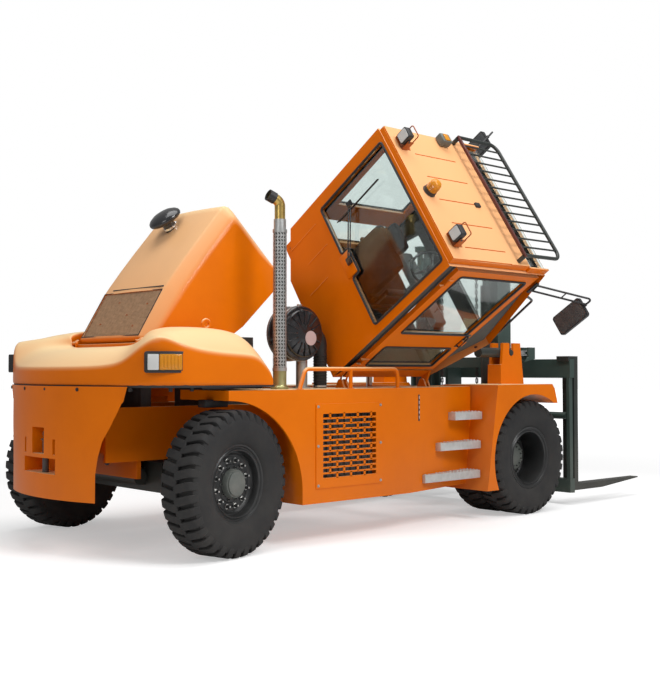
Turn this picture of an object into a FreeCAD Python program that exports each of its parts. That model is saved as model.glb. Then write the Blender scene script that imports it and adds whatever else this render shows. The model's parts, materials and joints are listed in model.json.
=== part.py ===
"""Diesel counterbalance forklift of the 16-tonne class, cab tilted and hood open.

The truck is built in its own frame, in millimetres: X forward to the forks, Y to the left,
Z up, with X = 0 and Z = 0 on the floor under the drive axle. Everything is then moved so
that the origin is the centre of the whole truck's footprint box, on the floor.
"""
import FreeCAD, Part
import math
import os

V = FreeCAD.Vector
X_AXIS, Y_AXIS, Z_AXIS = V(1, 0, 0), V(0, 1, 0), V(0, 0, 1)

# ---- wheels and axles ----
WHEELBASE = 3700.0
AXLE_X = -WHEELBASE       # the steered axle, from which the whole rear is placed
TYRE_R = 560.0
TYRE_W = 304.0
REAR_TYRE_W = 340.0
RIM_R = 262.0             # bead seat, where the tyre sits
RIM_FLANGE_R = 305.0
SIDEWALL_R = 330.0        # where the flat sidewall turns in to the bead
CARCASS_SIDES = 16
LUG_COUNT = 20
LUG_DEPTH = 34.0
LUG_SHARE = 0.48
RIM_W = 250.0
RIM_WALL = 12.0
FLANGE_W = 34.0
REAR_TRACK_Y = 1148.0     # middle of each steered tyre
TWIN_OUTER_Y = 1143.0
TWIN_INNER_Y = 815.0
KINGPIN_Y = 880.0
KINGPIN_R = 34.0
STEER_REST = 11.5         # degrees to the left, as parked
RUN_GAP = 1.0             # running clearance round pins and spindles
SPINDLE_R = 55.0
HUB_R = 150.0
AXLE_TUBE_R = 105.0
DIFF_R = 235.0

# ---- chassis ----
HALF_W = 1250.0           # side panels
SIDE_Z0, SIDE_Z1 = 340.0, 1265.0
RAIL_OUT, RAIL_T = 480.0, 30.0
RAIL_REAR_Z1 = 1130.0     # under the hood the rails are lower
RAIL_STEP_X = -2390.0
RAIL_ARCH_Z = 705.0       # the rails arch over the steered axle
FRAME_REAR_X, FRAME_FRONT_X = AXLE_X - 600.0, 220.0
BOX_REAR_X = AXLE_X
BOX_FRONT_X = -620.0
BAY_HALF_W = 610.0        # open engine bay
ARCH_R, ARCH_Z = 740.0, 448.0
ARCH_SHEET_T = 20.0       # side sheet left outside the turning wheel's room
SWING_R, SWING_Z = 748.0, 1180.0
WELL_PROFILE = ((824, 0), (824, 640), (810, 774), (788, 889), (752, 989), (722, 1088), (696, 1187), (684, 1340))
STEP_CORNER_X = -1710.0   # where the side folds inwards behind the steps
STEP_END_Y = HALF_W - 220.0
DECK_T = 15.0
VENT_X0, VENT_X1, VENT_Z0, VENT_Z1 = -2820.0, -2060.0, 460.0, 1146.0
VENT_T = 8.0
SLOT_ROWS = 12
SLOT_PITCH_X = 110.0
SLOT_GAP_X, SLOT_GAP_Z = 16.0, 15.0
VENT_MARGIN = 75.0        # plain edge round the slots
VENT_DEPTH = 60.0

# ---- counterweight ----
CW_BOTTOM = 430.0
SEAM_Z = 1305.0
SEAM_GAP = 6.0
CW_REAR_X = AXLE_X - 920.0
CW_FRONT_X = AXLE_X - 360.0
COVER_TOP_Z = 1775.0
SHOULDER_Z = 1570.0       # top of the cover's straight side
SHOULDER_IN_Y = 600.0
SHOULDER_FRONT_X = AXLE_X + 530.0
DISH_REAR_Z, DISH_FRONT_Z = 1453.0, 1610.0
TOW_PIN_R = 25.0
EYE_X, EYE_Y, EYE_Z, EYE_T = AXLE_X + 140.0, 760.0, 1790.0, 28.0
LEDGE_Z, LEDGE_T = 740.0, 30.0
LAMP_LENGTH, LAMP_DEPTH, LAMP_HEIGHT, LAMP_Z, LAMP_TURN = 286.0, 60.0, 152.0, 1480.0, 27.8

# ---- air cleaner, beside the hood ----
ENGINE_X = AXLE_X + 450.0
CLEANER_X, CLEANER_Y, CLEANER_Z = AXLE_X + 1100.0, -720.0, 1735.0
CLEANER_R = 235.0

# ---- hood ----
HOOD_HALF_W = 560.0
HOOD_WALL = 6.0
HOOD_BEVEL = 95.0
HOOD_HINGE_X, HOOD_HINGE_Z = AXLE_X - 320.0, 1650.0
HOOD_REAR_X = HOOD_HINGE_X + 35.0
HOOD_OPEN = 38.0
HOOD_HINGE_Y = (-505.0, 505.0)
HINGE_R, HINGE_PIN_R = 13.0, 6.0
HOOD_TOP_Z = 2050.0
HOOD_CORNERS = [          # side view of the lowered hood: x, z, corner radius
    (HOOD_REAR_X, 1622, 30), (HOOD_REAR_X, 1662, 20), (HOOD_REAR_X + 441, 1834, 900),
    (HOOD_REAR_X + 903, 1948, 1500), (HOOD_REAR_X + 1400, HOOD_TOP_Z, 130), (HOOD_REAR_X + 1508, 1205, 0),
    (HOOD_REAR_X + 831, 1151, 60), (HOOD_REAR_X + 645, 1165, 120), (HOOD_REAR_X + 85, 1560, 40)]

# ---- cab, given as it stands when lowered ----
CAB_X0, CAB_X1 = -2190.0, -600.0
CAB_HALF_W = 735.0
CAB_Z0, CAB_Z1 = 1330.0, 3030.0
CAB_HINGE_Y, CAB_HINGE_Z = -CAB_HALF_W - 45.0, 1310.0
WINDOW_HALF_W = CAB_HALF_W - 75.0
REAR_WINDOW_Y = (-CAB_HALF_W + 85.0, CAB_HALF_W - 120.0)
CAB_TILT = 57.0
CAB_WALL = 50.0
ROOF_T = 70.0
GLASS_T = 8.0
DOOR_X0, DOOR_X1 = -2040.0, -985.0
DOOR_Z0, DOOR_Z1 = 1462.0, 2915.0
DOOR_GAP = 6.0
DOOR_HINGE_DX, DOOR_HINGE_OUT, DOOR_HINGE_R = -3.0, 11.0, 10.0
DOOR_HINGE_Z = (1600.0, 2760.0)
CYL_X = -1300.0           # the cylinder that tilts the cab
CYL_EYE_Y, CYL_EYE_Z = -80.0, 1255.0
CYL_BASE_Y, CYL_BASE_Z = -300.0, 520.0
CYL_BARREL_LEN = 690.0
CYL_BARREL_R, CYL_ROD_R = 48.0, 30.0
CYL_PIN_R = 20.0

# ---- front end ----
FENDER_OUT_Y, FENDER_IN_Y = 1330.0, 640.0
FENDER_ARCH_R = 622.0
FENDER_Z1 = 1282.0
MAST_HINGE_X, MAST_HINGE_Z = 420.0, 450.0
MAST_X0, MAST_X1 = 400.0, 620.0
MAST_OUT_Y = 560.0
MAST_Z0, MAST_Z1 = 200.0, 2700.0
EAR_X, EAR_Z, EAR_Y = 560.0, 1600.0, 830.0
TRUNNION_X = 170.0
CARRIAGE_X = 860.0
BAR_T = 80.0
BAR_HALF_W = 1150.0
FORK_Y, FORK_W, FORK_T = 1070.0, 150.0, 70.0
FORK_TIP_X = 2230.0
FORK_Z0 = 150.0


# ---------------------------------------------------------------- helpers

def box(x0, x1, y0, y1, z0, z1):
    return Part.makeBox(x1 - x0, y1 - y0, z1 - z0, V(x0, y0, z0))


def extruded(points, direction):
    return Part.Face(Part.makePolygon(points + points[:1])).extrude(direction)


def rounded_face(points, radii):
    """A flat face whose corners are arcs of the given radii, 0 for a sharp one."""
    edges, start, first = [], None, None
    count = len(points)
    for k in range(count):
        corner, radius = points[k], radii[k]
        u, w = (points[k - 1] - corner).normalize(), (points[(k + 1) % count] - corner).normalize()
        if radius:
            half = u.getAngle(w) / 2
            enter, leave = corner + u * (radius / math.tan(half)), corner + w * (radius / math.tan(half))
            middle = corner + (u + w).normalize() * (radius / math.sin(half) - radius)
        else:
            enter = leave = corner
        if start is not None:
            edges.append(Part.LineSegment(start, enter).toShape())
        else:
            first = enter
        if radius:
            edges.append(Part.Arc(enter, middle, leave).toShape())
        start = leave
    edges.append(Part.LineSegment(start, first).toShape())
    return Part.Face(Part.Wire(edges))


def rounded_side_slab(xz, radii, y0, y1):
    return rounded_face([V(x, y0, z) for x, z in xz], radii).extrude(V(0, y1 - y0, 0))


def rounded_front_slab(yz, radii, x0, x1):
    return rounded_face([V(x0, y, z) for y, z in yz], radii).extrude(V(x1 - x0, 0, 0))


def side_slab(xz, y0, y1):
    """A side view outline, extruded across the truck."""
    return extruded([V(x, y0, z) for x, z in xz], V(0, y1 - y0, 0))


def plan_slab(xy, z0, z1):
    """An outline seen from above, extruded upwards."""
    return extruded([V(x, y, z0) for x, y in xy], V(0, 0, z1 - z0))


def front_slab(yz, x0, x1):
    """An outline seen from behind, extruded forwards."""
    return extruded([V(x0, y, z) for y, z in yz], V(x1 - x0, 0, 0))


def rod(start, end, radius):
    run = V(*end) - V(*start)
    return Part.makeCylinder(radius, run.Length, V(*start), run)


def tube(start, end, radius, bore):
    return rod(start, end, radius).cut(rod(start, end, bore))


def ring_y(x, y0, y1, z, radius, bore):
    return tube((x, y0, z), (x, y1, z), radius, bore)


def bent_rod(points, radius, bend):
    """A round bar through the points, with each corner bent to one radius."""
    pts = [V(*p) for p in points]
    edges = []
    start = pts[0]
    for before, corner, after in zip(pts, pts[1:], pts[2:]):
        u, w = (before - corner).normalize(), (after - corner).normalize()
        half = u.getAngle(w) / 2
        reach = bend / math.tan(half)
        mid_dir = (u + w).normalize()
        first, last = corner + u * reach, corner + w * reach
        centre_dist = bend / math.sin(half)
        middle = corner + mid_dir * (centre_dist - bend)
        edges += [Part.LineSegment(start, first).toShape(), Part.Arc(first, middle, last).toShape()]
        start = last
    edges.append(Part.LineSegment(start, pts[-1]).toShape())
    circle = Part.Wire(Part.makeCircle(radius, pts[0], pts[1] - pts[0]))
    return Part.Wire(edges).makePipeShell([circle], True, False)


def fused(shapes):
    shapes = list(shapes)
    return shapes[0].multiFuse(shapes[1:]).removeSplitter() if len(shapes) > 1 else shapes[0]


def mirrored(shape):
    return shape.mirror(V(0, 0, 0), Y_AXIS)


def pair(shape):
    """The piece and its mirror image on the other side, as one node."""
    return Part.makeCompound([shape, mirrored(shape)])


def turned(shape, centre, axis, degrees):
    copy = shape.copy()
    copy.rotate(V(*centre), axis, degrees)
    return copy


def revolved_y(profile, x, z):
    """A profile of (radius, y) points, spun about a wheel's axle."""
    face = Part.Face(Part.makePolygon([V(x, y, z + r) for r, y in profile + profile[:1]]))
    return face.revolve(V(x, 0, z), Y_AXIS, 360)


# ---------------------------------------------------------------- wheels

def wheel_polygon(radii_angles, y):
    """A closed wire in a wheel's plane, from (radius, degrees from the top) points."""
    points = [V(r * math.sin(math.radians(a)), y, TYRE_R + r * math.cos(math.radians(a))) for r, a in radii_angles]
    return Part.makePolygon(points + points[:1])


def ring_corners(inner_radius):
    """Corners of a regular polygon that clears a round of the given radius."""
    corner_r = inner_radius / math.cos(math.pi / CARCASS_SIDES)
    return [(corner_r, 360 * k / CARCASS_SIDES) for k in range(CARCASS_SIDES)]


def tread_half(y0, y1, first_angle):
    """One row of lugs with the tread floor between them, as one toothed disc."""
    pitch = 360 / LUG_COUNT
    half_lug = LUG_SHARE * pitch / 2
    tip_r = TYRE_R / math.cos(math.radians(half_lug))
    outline = []
    for k in range(LUG_COUNT):
        middle = first_angle + k * pitch
        rise, fall = middle - half_lug, middle + half_lug
        outline += [(tip_r - LUG_DEPTH, rise), (tip_r, rise), (tip_r, fall), (tip_r - LUG_DEPTH, fall)]
    return Part.Face(wheel_polygon(outline, y0)).extrude(V(0, y1 - y0, 0))


def tyre(y, width):
    """Faceted tyre: two rows of lugs, half a pitch apart, cut out to sit on the rim."""
    half = width / 2 - 6
    bead = RIM_W / 2 - FLANGE_W
    body = tread_half(y, y + half, 0).fuse(tread_half(y - half, y, 180 / LUG_COUNT))
    bore = Part.Face(wheel_polygon(ring_corners(RIM_R), y - bead)).extrude(V(0, 2 * bead, 0))
    body = body.cut(bore)
    for s in (1, -1):
        near = wheel_polygon(ring_corners(RIM_FLANGE_R + 2), y + s * bead)
        far = wheel_polygon(ring_corners(SIDEWALL_R), y + s * half)
        body = body.cut(Part.makeLoft([near, far], True, True))
    return body.removeSplitter()


def rim_barrel(y):
    half = RIM_W / 2
    flange = half - FLANGE_W
    return revolved_y([(RIM_R - RIM_WALL, y - half), (RIM_FLANGE_R, y - half), (RIM_FLANGE_R, y - flange),
                       (RIM_R, y - flange), (RIM_R, y + flange), (RIM_FLANGE_R, y + flange),
                       (RIM_FLANGE_R, y + half), (RIM_R - RIM_WALL, y + half)], 0, TYRE_R)


def wheel_disc(y0, y1):
    return ring_y(0, y0, y1, TYRE_R, RIM_R - RIM_WALL, SPINDLE_R + RUN_GAP)


def rear_wheel():
    """Left steered wheel: rim with its disc near the outer face, and tyre."""
    y = REAR_TRACK_Y
    disc_y = y + 40
    rim = fused([rim_barrel(y), wheel_disc(disc_y, disc_y + 22),
                 ring_y(0, y - 60, disc_y + 70, TYRE_R, HUB_R - 40, SPINDLE_R + RUN_GAP),
                 rod((0, disc_y + 70, TYRE_R), (0, disc_y + 82, TYRE_R), HUB_R - 50)])
    place = V(-WHEELBASE, 0, 0)
    return moved(rim, place), moved(tyre(y, REAR_TYRE_W), place)


def twin_wheels():
    """Left pair of driven wheels: both rims on one hub, and both tyres."""
    middle = (TWIN_OUTER_Y + TWIN_INNER_Y) / 2
    rims = fused([rim_barrel(TWIN_OUTER_Y), rim_barrel(TWIN_INNER_Y), wheel_disc(middle - 25, middle + 25),
                  ring_y(0, middle + 24, TWIN_OUTER_Y - RIM_W / 2 + 8, TYRE_R, RIM_R, RIM_R - RIM_WALL),
                  ring_y(0, TWIN_INNER_Y + RIM_W / 2 - 8, middle - 24, TYRE_R, RIM_R, RIM_R - RIM_WALL),
                  ring_y(0, middle - 120, middle + 90, TYRE_R, HUB_R, SPINDLE_R + RUN_GAP),
                  rod((0, middle + 90, TYRE_R), (0, middle + 105, TYRE_R), HUB_R - 20)])
    return rims, Part.makeCompound([tyre(y, TYRE_W) for y in (TWIN_OUTER_Y, TWIN_INNER_Y)])


def moved(shape, offset):
    copy = shape.copy()
    copy.translate(offset)
    return copy


def steered(shape, side):
    """Turns a wheel or knuckle about its kingpin to the parked steering angle."""
    return turned(shape, (-WHEELBASE, side * KINGPIN_Y, 0), Z_AXIS, STEER_REST)


YOKE_Z0, YOKE_Z1 = 430.0, 690.0
EYE_HALF_H = 75.0


def knuckle():
    """Left knuckle: yoke over the axle's eye, kingpin and wheel spindle."""
    y, z = KINGPIN_Y, TYRE_R
    x = -WHEELBASE
    gap = 4.0
    plates = [rod((x, y, YOKE_Z0), (x, y, z - EYE_HALF_H - gap), 82),
              rod((x, y, z + EYE_HALF_H + gap), (x, y, YOKE_Z1), 82)]
    back = box(x - 70, x + 70, y + 80, y + 104, YOKE_Z0, YOKE_Z1)
    webs = [box(x - 70, x + 70, y, y + 104, YOKE_Z0, z - EYE_HALF_H - gap),
            box(x - 70, x + 70, y, y + 104, z + EYE_HALF_H + gap, YOKE_Z1)]
    pin = rod((x, y, YOKE_Z0), (x, y, YOKE_Z1), KINGPIN_R)
    spindle = rod((x, y + 100, z), (x, REAR_TRACK_Y + 100, z), SPINDLE_R)
    return fused(plates + [back, pin, spindle] + webs)


def steer_axle():
    """Beam between the kingpins, with the steering cylinder on its rear side."""
    x, z = -WHEELBASE, TYRE_R
    eye_gap = RUN_GAP
    beam = box(x - 110, x + 110, -520, 520, z - 120, z + 120)
    arms = [side_slab([(x - 75, z - EYE_HALF_H), (x + 75, z - EYE_HALF_H), (x + 75, z + EYE_HALF_H),
                       (x - 75, z + EYE_HALF_H)], s * 500, s * KINGPIN_Y) for s in (1, -1)]
    eyes = [rod((x, s * KINGPIN_Y, z - EYE_HALF_H), (x, s * KINGPIN_Y, z + EYE_HALF_H), 75) for s in (1, -1)]
    cylinder = rod((x - 190, -330, z), (x - 190, 330, z), 62)
    clamps = [box(x - 200, x - 100, s * 250 - 30, s * 250 + 30, z - 70, z + 70) for s in (1, -1)]
    pivot = rod((x - 305, 0, z + 140), (x + 305, 0, z + 140), 60)
    body = fused([beam, cylinder, pivot] + arms + eyes + clamps)
    for s in (1, -1):
        body = body.cut(rod((x, s * KINGPIN_Y, z - 200), (x, s * KINGPIN_Y, z + 200), KINGPIN_R + eye_gap))
    return body


def drive_axle():
    """Front axle: tube, differential bowl and the two hub spindles."""
    z = TYRE_R
    inner_face = TWIN_INNER_Y - TYRE_W / 2
    tube_end = inner_face - 20
    middle = (TWIN_OUTER_Y + TWIN_INNER_Y) / 2
    bowl = Part.makeSphere(DIFF_R, V(0, 0, z)).common(box(-DIFF_R, DIFF_R, -170, 170, z - DIFF_R, z + DIFF_R))
    return fused([rod((0, -tube_end, z), (0, tube_end, z), AXLE_TUBE_R), bowl,
                  rod((0, -middle - 60, z), (0, middle + 60, z), SPINDLE_R),
                  rod((0, 0, z), (-420, 0, z), 90)])


# ---------------------------------------------------------------- chassis

def frame_rail():
    """Left main rail, lower under the hood and cut back in front to let the mast tilt."""
    return side_slab([(FRAME_REAR_X, RAIL_ARCH_Z), (FRAME_REAR_X, RAIL_REAR_Z1), (RAIL_STEP_X, RAIL_REAR_Z1),
                      (RAIL_STEP_X, SIDE_Z1), (FRAME_FRONT_X - 200, SIDE_Z1), (FRAME_FRONT_X, 560),
                      (FRAME_FRONT_X, SIDE_Z0), (AXLE_X + 550, SIDE_Z0), (AXLE_X + 350, RAIL_ARCH_Z)],
                     RAIL_OUT - RAIL_T, RAIL_OUT)


def wheel_arch():
    """Space of the left rear wheel, its swing included."""
    across = rod((-WHEELBASE, RAIL_OUT, ARCH_Z), (-WHEELBASE, 1400, ARCH_Z), ARCH_R)
    below = box(-WHEELBASE - ARCH_R, -WHEELBASE + ARCH_R, RAIL_OUT, 1400, 0, ARCH_Z)
    return across.fuse(below)


def side_box():
    """Left tank box between the wheels, folded inwards behind the steps."""
    plan = [(BOX_REAR_X, RAIL_OUT), (BOX_REAR_X, HALF_W), (STEP_CORNER_X, HALF_W), (BOX_FRONT_X, STEP_END_Y),
            (BOX_FRONT_X, RAIL_OUT)]
    body = plan_slab(plan, SIDE_Z0, SIDE_Z1)
    bay = box(BOX_REAR_X - 10, RAIL_STEP_X, RAIL_OUT - 10, BAY_HALF_W, RAIL_REAR_Z1, SIDE_Z1 + 10)
    vent = box(VENT_X0 + 50, VENT_X1 - 50, HALF_W - VENT_DEPTH, HALF_W + 10, VENT_Z0 + 50, VENT_Z1 - 50)
    swing = rod((-WHEELBASE, KINGPIN_Y, 0), (-WHEELBASE, KINGPIN_Y, SWING_Z), SWING_R)
    swing = swing.common(box(BOX_REAR_X - 10, 0, 0, HALF_W - ARCH_SHEET_T, 0, SWING_Z))
    return body.cut(wheel_arch()).cut(bay).cut(vent).cut(swing)


def chassis_frame():
    rails = [frame_rail(), mirrored(frame_rail())]
    inner = RAIL_OUT - RAIL_T
    cross = [box(x0, x1, -inner, inner, z0, z1) for x0, x1, z0, z1 in (
        (FRAME_REAR_X, FRAME_REAR_X + 60, 780, 1100), (-2420, -2390, 400, 1100), (-2180, -2140, 900, SIDE_Z1),
        (CYL_X - 60, CYL_X + 60, 400, CYL_BASE_Z - 60), (-900, -860, 700, SIDE_Z1),
        (FRAME_FRONT_X - 40, FRAME_FRONT_X, SIDE_Z0, 540))]
    axle_saddles = [box(-WHEELBASE + s * 281 - 19, -WHEELBASE + s * 281 + 19, -inner, inner, 560, 1000)
                    for s in (1, -1)]
    front = FRAME_FRONT_X - 40
    mast_brackets = [fused([box(front, FRAME_FRONT_X, inner, 620, SIDE_Z0, 540),
                            side_slab([(front, SIDE_Z0 + 20), (MAST_HINGE_X, MAST_HINGE_Z - 60),
                                       (MAST_HINGE_X + 60, MAST_HINGE_Z), (MAST_HINGE_X, MAST_HINGE_Z + 60),
                                       (front, 540)], 585, 620),
                            rod((MAST_HINGE_X, 540, MAST_HINGE_Z), (MAST_HINGE_X, 620, MAST_HINGE_Z), 34)])]
    brackets = cab_hinge_brackets()
    deck = box(-2300, -2140, -CAB_HALF_W, CAB_HALF_W, SIDE_Z1 - DECK_T, SIDE_Z1)
    parts = rails + cross + axle_saddles + mast_brackets + [mirrored(m) for m in mast_brackets]
    parts += [side_box(), mirrored(side_box()), deck, cylinder_clevis()] + brackets
    frame = fused(parts)
    return frame.cut(drive_axle()).cut(steer_axle()).cut(engine_block())


def cylinder_clevis():
    """Clevis and pin on the cross member that carry the cab's tilt cylinder."""
    y, z = CYL_BASE_Y, CYL_BASE_Z
    plates = [box(CYL_X + s * 46 - 10, CYL_X + s * 46 + 10, y - 50, y + 50, z - 65, z + 30) for s in (1, -1)]
    return fused(plates + [rod((CYL_X - 56, y, z), (CYL_X + 56, y, z), CYL_PIN_R)])


CAB_LUG_X = (-2080.0, -1010.0)
LUG_T = 24.0


def cab_hinge_brackets():
    """Clevis on the right deck for each cab lug, with its pin."""
    y, z = CAB_HINGE_Y, CAB_HINGE_Z
    out = []
    for x in CAB_LUG_X:
        for x0 in (x - LUG_T / 2 - 3 - 20, x + LUG_T / 2 + 3):
            plate = front_slab([(y - 60, SIDE_Z1 - 10), (y + 60, SIDE_Z1 - 10), (y + 30, z + 12), (y - 30, z + 12)],
                               x0, x0 + 20)
            out.append(plate.fuse(rod((x0, y, z), (x0 + 20, y, z), 32)))
        out.append(rod((x - LUG_T / 2 - 30, y, z), (x + LUG_T / 2 + 30, y, z), 18))
    return out


def vent_panel():
    """Bolted side panel with rows of staggered slots, like bricks."""
    x0, x1 = VENT_X0 + VENT_MARGIN, VENT_X1 - VENT_MARGIN
    pitch_z = (VENT_Z1 - VENT_Z0 - 2 * VENT_MARGIN) / SLOT_ROWS
    slots = []
    for row in range(SLOT_ROWS):
        z0 = VENT_Z0 + VENT_MARGIN + row * pitch_z + SLOT_GAP_Z / 2
        start = x0 - (SLOT_PITCH_X / 2 if row % 2 else 0)
        for k in range(int((x1 - start) / SLOT_PITCH_X) + 1):
            left = max(start + k * SLOT_PITCH_X + SLOT_GAP_X / 2, x0)
            right = min(start + (k + 1) * SLOT_PITCH_X - SLOT_GAP_X / 2, x1)
            if right - left > SLOT_GAP_X:
                slots.append(box(left, right, HALF_W - 1, HALF_W + VENT_T + 1, z0, z0 + pitch_z - SLOT_GAP_Z))
    return box(VENT_X0, VENT_X1, HALF_W, HALF_W + VENT_T, VENT_Z0, VENT_Z1).cut(Part.makeCompound(slots))


def step_tread(x0, x1, out_y, z0):
    """Left wedge-shaped tread between the folded side and the outer face."""
    def wall_y(x):
        share = (x - STEP_CORNER_X) / (BOX_FRONT_X - STEP_CORNER_X)
        return HALF_W + share * (STEP_END_Y - HALF_W)
    return plan_slab([(x0, wall_y(x0)), (x1, wall_y(x1)), (x1, out_y), (x0, out_y)], z0, z0 + 80)


def step_treads():
    treads = [step_tread(-1500, -735, HALF_W - 5, 410), step_tread(-1270, -700, HALF_W - 25, 683),
              step_tread(-1040, -655, HALF_W - 45, 956)]
    return Part.makeCompound(treads + [mirrored(t) for t in treads])


def handrails():
    """Two-bay tubular rail on each deck edge."""
    y, r, top = HALF_W - 60, 17.0, SIDE_Z1 + 165
    x0, x1 = -2940.0, -1800.0
    hoop = bent_rod([(x0, y, SIDE_Z1), (x0 + 60, y, top), (x1, y, top), (x1, y, SIDE_Z1)], r, 55)
    post = rod(((x0 + x1) / 2, y, SIDE_Z1), ((x0 + x1) / 2, y, top), r)
    return pair(fused([hoop, post]))


def engine_block():
    """Engine, gearbox and radiator as one stepped block between the rails."""
    w, x = RAIL_OUT - RAIL_T - 25, ENGINE_X
    return fused([box(x, x + 800, -300, 300, 620, 1090), box(x + 50, x + 720, -210, 210, 1080, 1420),
                  box(x + 200, x + 650, -160, 160, 1410, 1720),
                  box(AXLE_X - 250, AXLE_X - 150, -w, w, 780, 1500),
                  box(AXLE_X - 150, x, -90, 90, 800, 900),
                  box(x + 790, x + 1350, -240, 240, 560, 1000)])


def air_cleaner():
    """Drum on a post beside the hood, with its ribbed cap towards the outside."""
    x, y, z = CLEANER_X, CLEANER_Y, CLEANER_Z
    drum = rod((x, y - 115, z), (x, y + 95, z), CLEANER_R)
    cap = rod((x, y - 140, z), (x, y - 110, z), CLEANER_R - 30)
    post = rod((x + 90, y, SIDE_Z1), (x + 90, y, z - CLEANER_R + 60), 52)
    return fused([drum, cap, post])


def intake_hose():
    """Black air hose that comes off the drum and turns down into the deck."""
    x, y, z = CLEANER_X, CLEANER_Y, CLEANER_Z
    hose = bent_rod([(x + 120, y, z + 60), (x + 305, y, z - 25), (x + 305, y, SIDE_Z1)], 58, 95)
    return hose.cut(air_cleaner())


def exhaust_stack():
    """Upright stack with a guard tube and a swept outlet."""
    x, y = AXLE_X + 750, -HALF_W + 300
    lower = rod((x, y, SIDE_Z1), (x, y, 2650), 57)
    upper = bent_rod([(x, y, 2640), (x, y, 2815), (x - 105, y + 20, 2860)], 45, 60)
    return fused([lower, upper])


# ---------------------------------------------------------------- counterweight

def rear_plan(inset):
    """Plan outline of the rear: convex back, rounded corners, straight sides."""
    w = HALF_W - inset
    back = CW_REAR_X + inset
    corner_x, corner_y = back + 220, HALF_W - 380 - inset * 0.4
    side_x = back + 570
    front = SHOULDER_FRONT_X
    mid_x, mid_y = (corner_x + side_x) / 2 - 52, (corner_y + w) / 2 + 52
    edges = [Part.Arc(V(corner_x, -corner_y, 0), V(back, 0, 0), V(corner_x, corner_y, 0)),
             Part.Arc(V(corner_x, corner_y, 0), V(mid_x, mid_y, 0), V(side_x, w, 0)),
             Part.LineSegment(V(side_x, w, 0), V(front, w, 0)),
             Part.LineSegment(V(front, w, 0), V(front, -w, 0)),
             Part.LineSegment(V(front, -w, 0), V(side_x, -w, 0)),
             Part.Arc(V(side_x, -w, 0), V(mid_x, -mid_y, 0), V(corner_x, -corner_y, 0))]
    return Part.Face(Part.Wire([e.toShape() for e in edges]))


def rear_block(z0, z1, inset):
    return moved(rear_plan(inset), V(0, 0, z0)).extrude(V(0, 0, z1 - z0))


def wheel_well():
    """Room for the turning wheel, a bowl that narrows upwards, about the kingpin."""
    profile = [(0, 0)] + list(WELL_PROFILE) + [(0, WELL_PROFILE[-1][1])]
    face = Part.Face(Part.makePolygon([V(r, 0, z) for r, z in profile + profile[:1]]))
    return face.revolve(V(0, 0, 0), Z_AXIS, 360)


def counterweight():
    """Lower casting with both wheel arches and the tow pocket."""
    body = rear_block(CW_BOTTOM, SEAM_Z - SEAM_GAP, 0)
    body = body.common(box(CW_REAR_X - 10, CW_FRONT_X, -HALF_W, HALF_W, CW_BOTTOM, SEAM_Z))
    for s in (1, -1):
        body = body.cut(moved(wheel_well(), V(AXLE_X, s * KINGPIN_Y, 0)))
    rails = box(FRAME_REAR_X - 5, CW_FRONT_X + 5, -RAIL_OUT - 5, RAIL_OUT + 5, CW_BOTTOM - 5, RAIL_REAR_Z1 + 5)
    back = CW_REAR_X + 170
    slot = box(CW_REAR_X - 20, back, -95, 95, LEDGE_Z + LEDGE_T, 975)
    mouth = box(CW_REAR_X - 20, back, -250, 250, LEDGE_Z - 120, LEDGE_Z)
    pin_hole = rod((CW_REAR_X + 70, 0, 565), (CW_REAR_X + 70, 0, 800), TOW_PIN_R + RUN_GAP)
    notches = [box(CW_REAR_X - 20, back, s * 230 - 16, s * 230 + 16, LEDGE_Z + LEDGE_T, LEDGE_Z + 150) for s in (1, -1)]
    return body.cut(rails).cut(slot).cut(mouth).cut(pin_hole).cut(Part.makeCompound(notches))


def tow_pin():
    x = CW_REAR_X + 70
    pin = rod((x, 0, 565), (x, 0, 880), TOW_PIN_R)
    ring = Part.makeTorus(34, 8, V(x, 0, 912), X_AXIS)
    return fused([pin, ring])


def counterweight_cover():
    """Upper cover: low dished back, raised shoulder each side, open over the engine bay."""
    body = rear_block(SEAM_Z, COVER_TOP_Z, 8)
    length = (CW_REAR_X - 50, SHOULDER_FRONT_X + 50)
    dish = side_slab([(length[0], SEAM_Z), (length[0], DISH_REAR_Z - 12), (HOOD_HINGE_X, DISH_FRONT_Z),
                      (HOOD_HINGE_X - 40, SEAM_Z)], -SHOULDER_IN_Y, SHOULDER_IN_Y)
    rise = [(-50, 1420), (170, 1475), (390, 1600), (570, 1715), (770, 1768)]
    fall = [(-310, 1768), (-160, 1720), (-70, 1620), (0, SEAM_Z)]
    top = [(CW_REAR_X + x, z) for x, z in rise] + [(SHOULDER_FRONT_X + x, z) for x, z in fall]
    shoulder = side_slab([(CW_REAR_X - 50, SEAM_Z)] + top, SHOULDER_IN_Y, HALF_W)
    crown = front_slab([(SHOULDER_IN_Y, SEAM_Z), (HALF_W, SEAM_Z), (HALF_W, SHOULDER_Z), (HALF_W - 60, 1640),
                        (HALF_W - 180, 1710), (900, COVER_TOP_Z), (SHOULDER_IN_Y, COVER_TOP_Z)],
                       length[0], length[1])
    shoulder = shoulder.common(crown)
    shape = fused([dish, shoulder, mirrored(shoulder)]).common(body)
    eyes = [ring_y(EYE_X, s * EYE_Y - EYE_T / 2, s * EYE_Y + EYE_T / 2, EYE_Z, 46, 22) for s in (1, -1)]
    return fused([shape] + eyes + hood_hinge_stands())


def tail_lamp(front=LAMP_DEPTH / 2):
    """Left rear lamp in the cover's rounded corner, or with a far front the recess it looks out of."""
    length, height = LAMP_LENGTH / 2, LAMP_HEIGHT / 2
    lamp = turned(box(-length, length, -LAMP_DEPTH / 2, front, -height, height), (0, 0, 0), Z_AXIS, LAMP_TURN)
    return moved(lamp, V(CW_REAR_X + 402, HALF_W - 84, LAMP_Z))


# ---------------------------------------------------------------- hood

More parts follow.
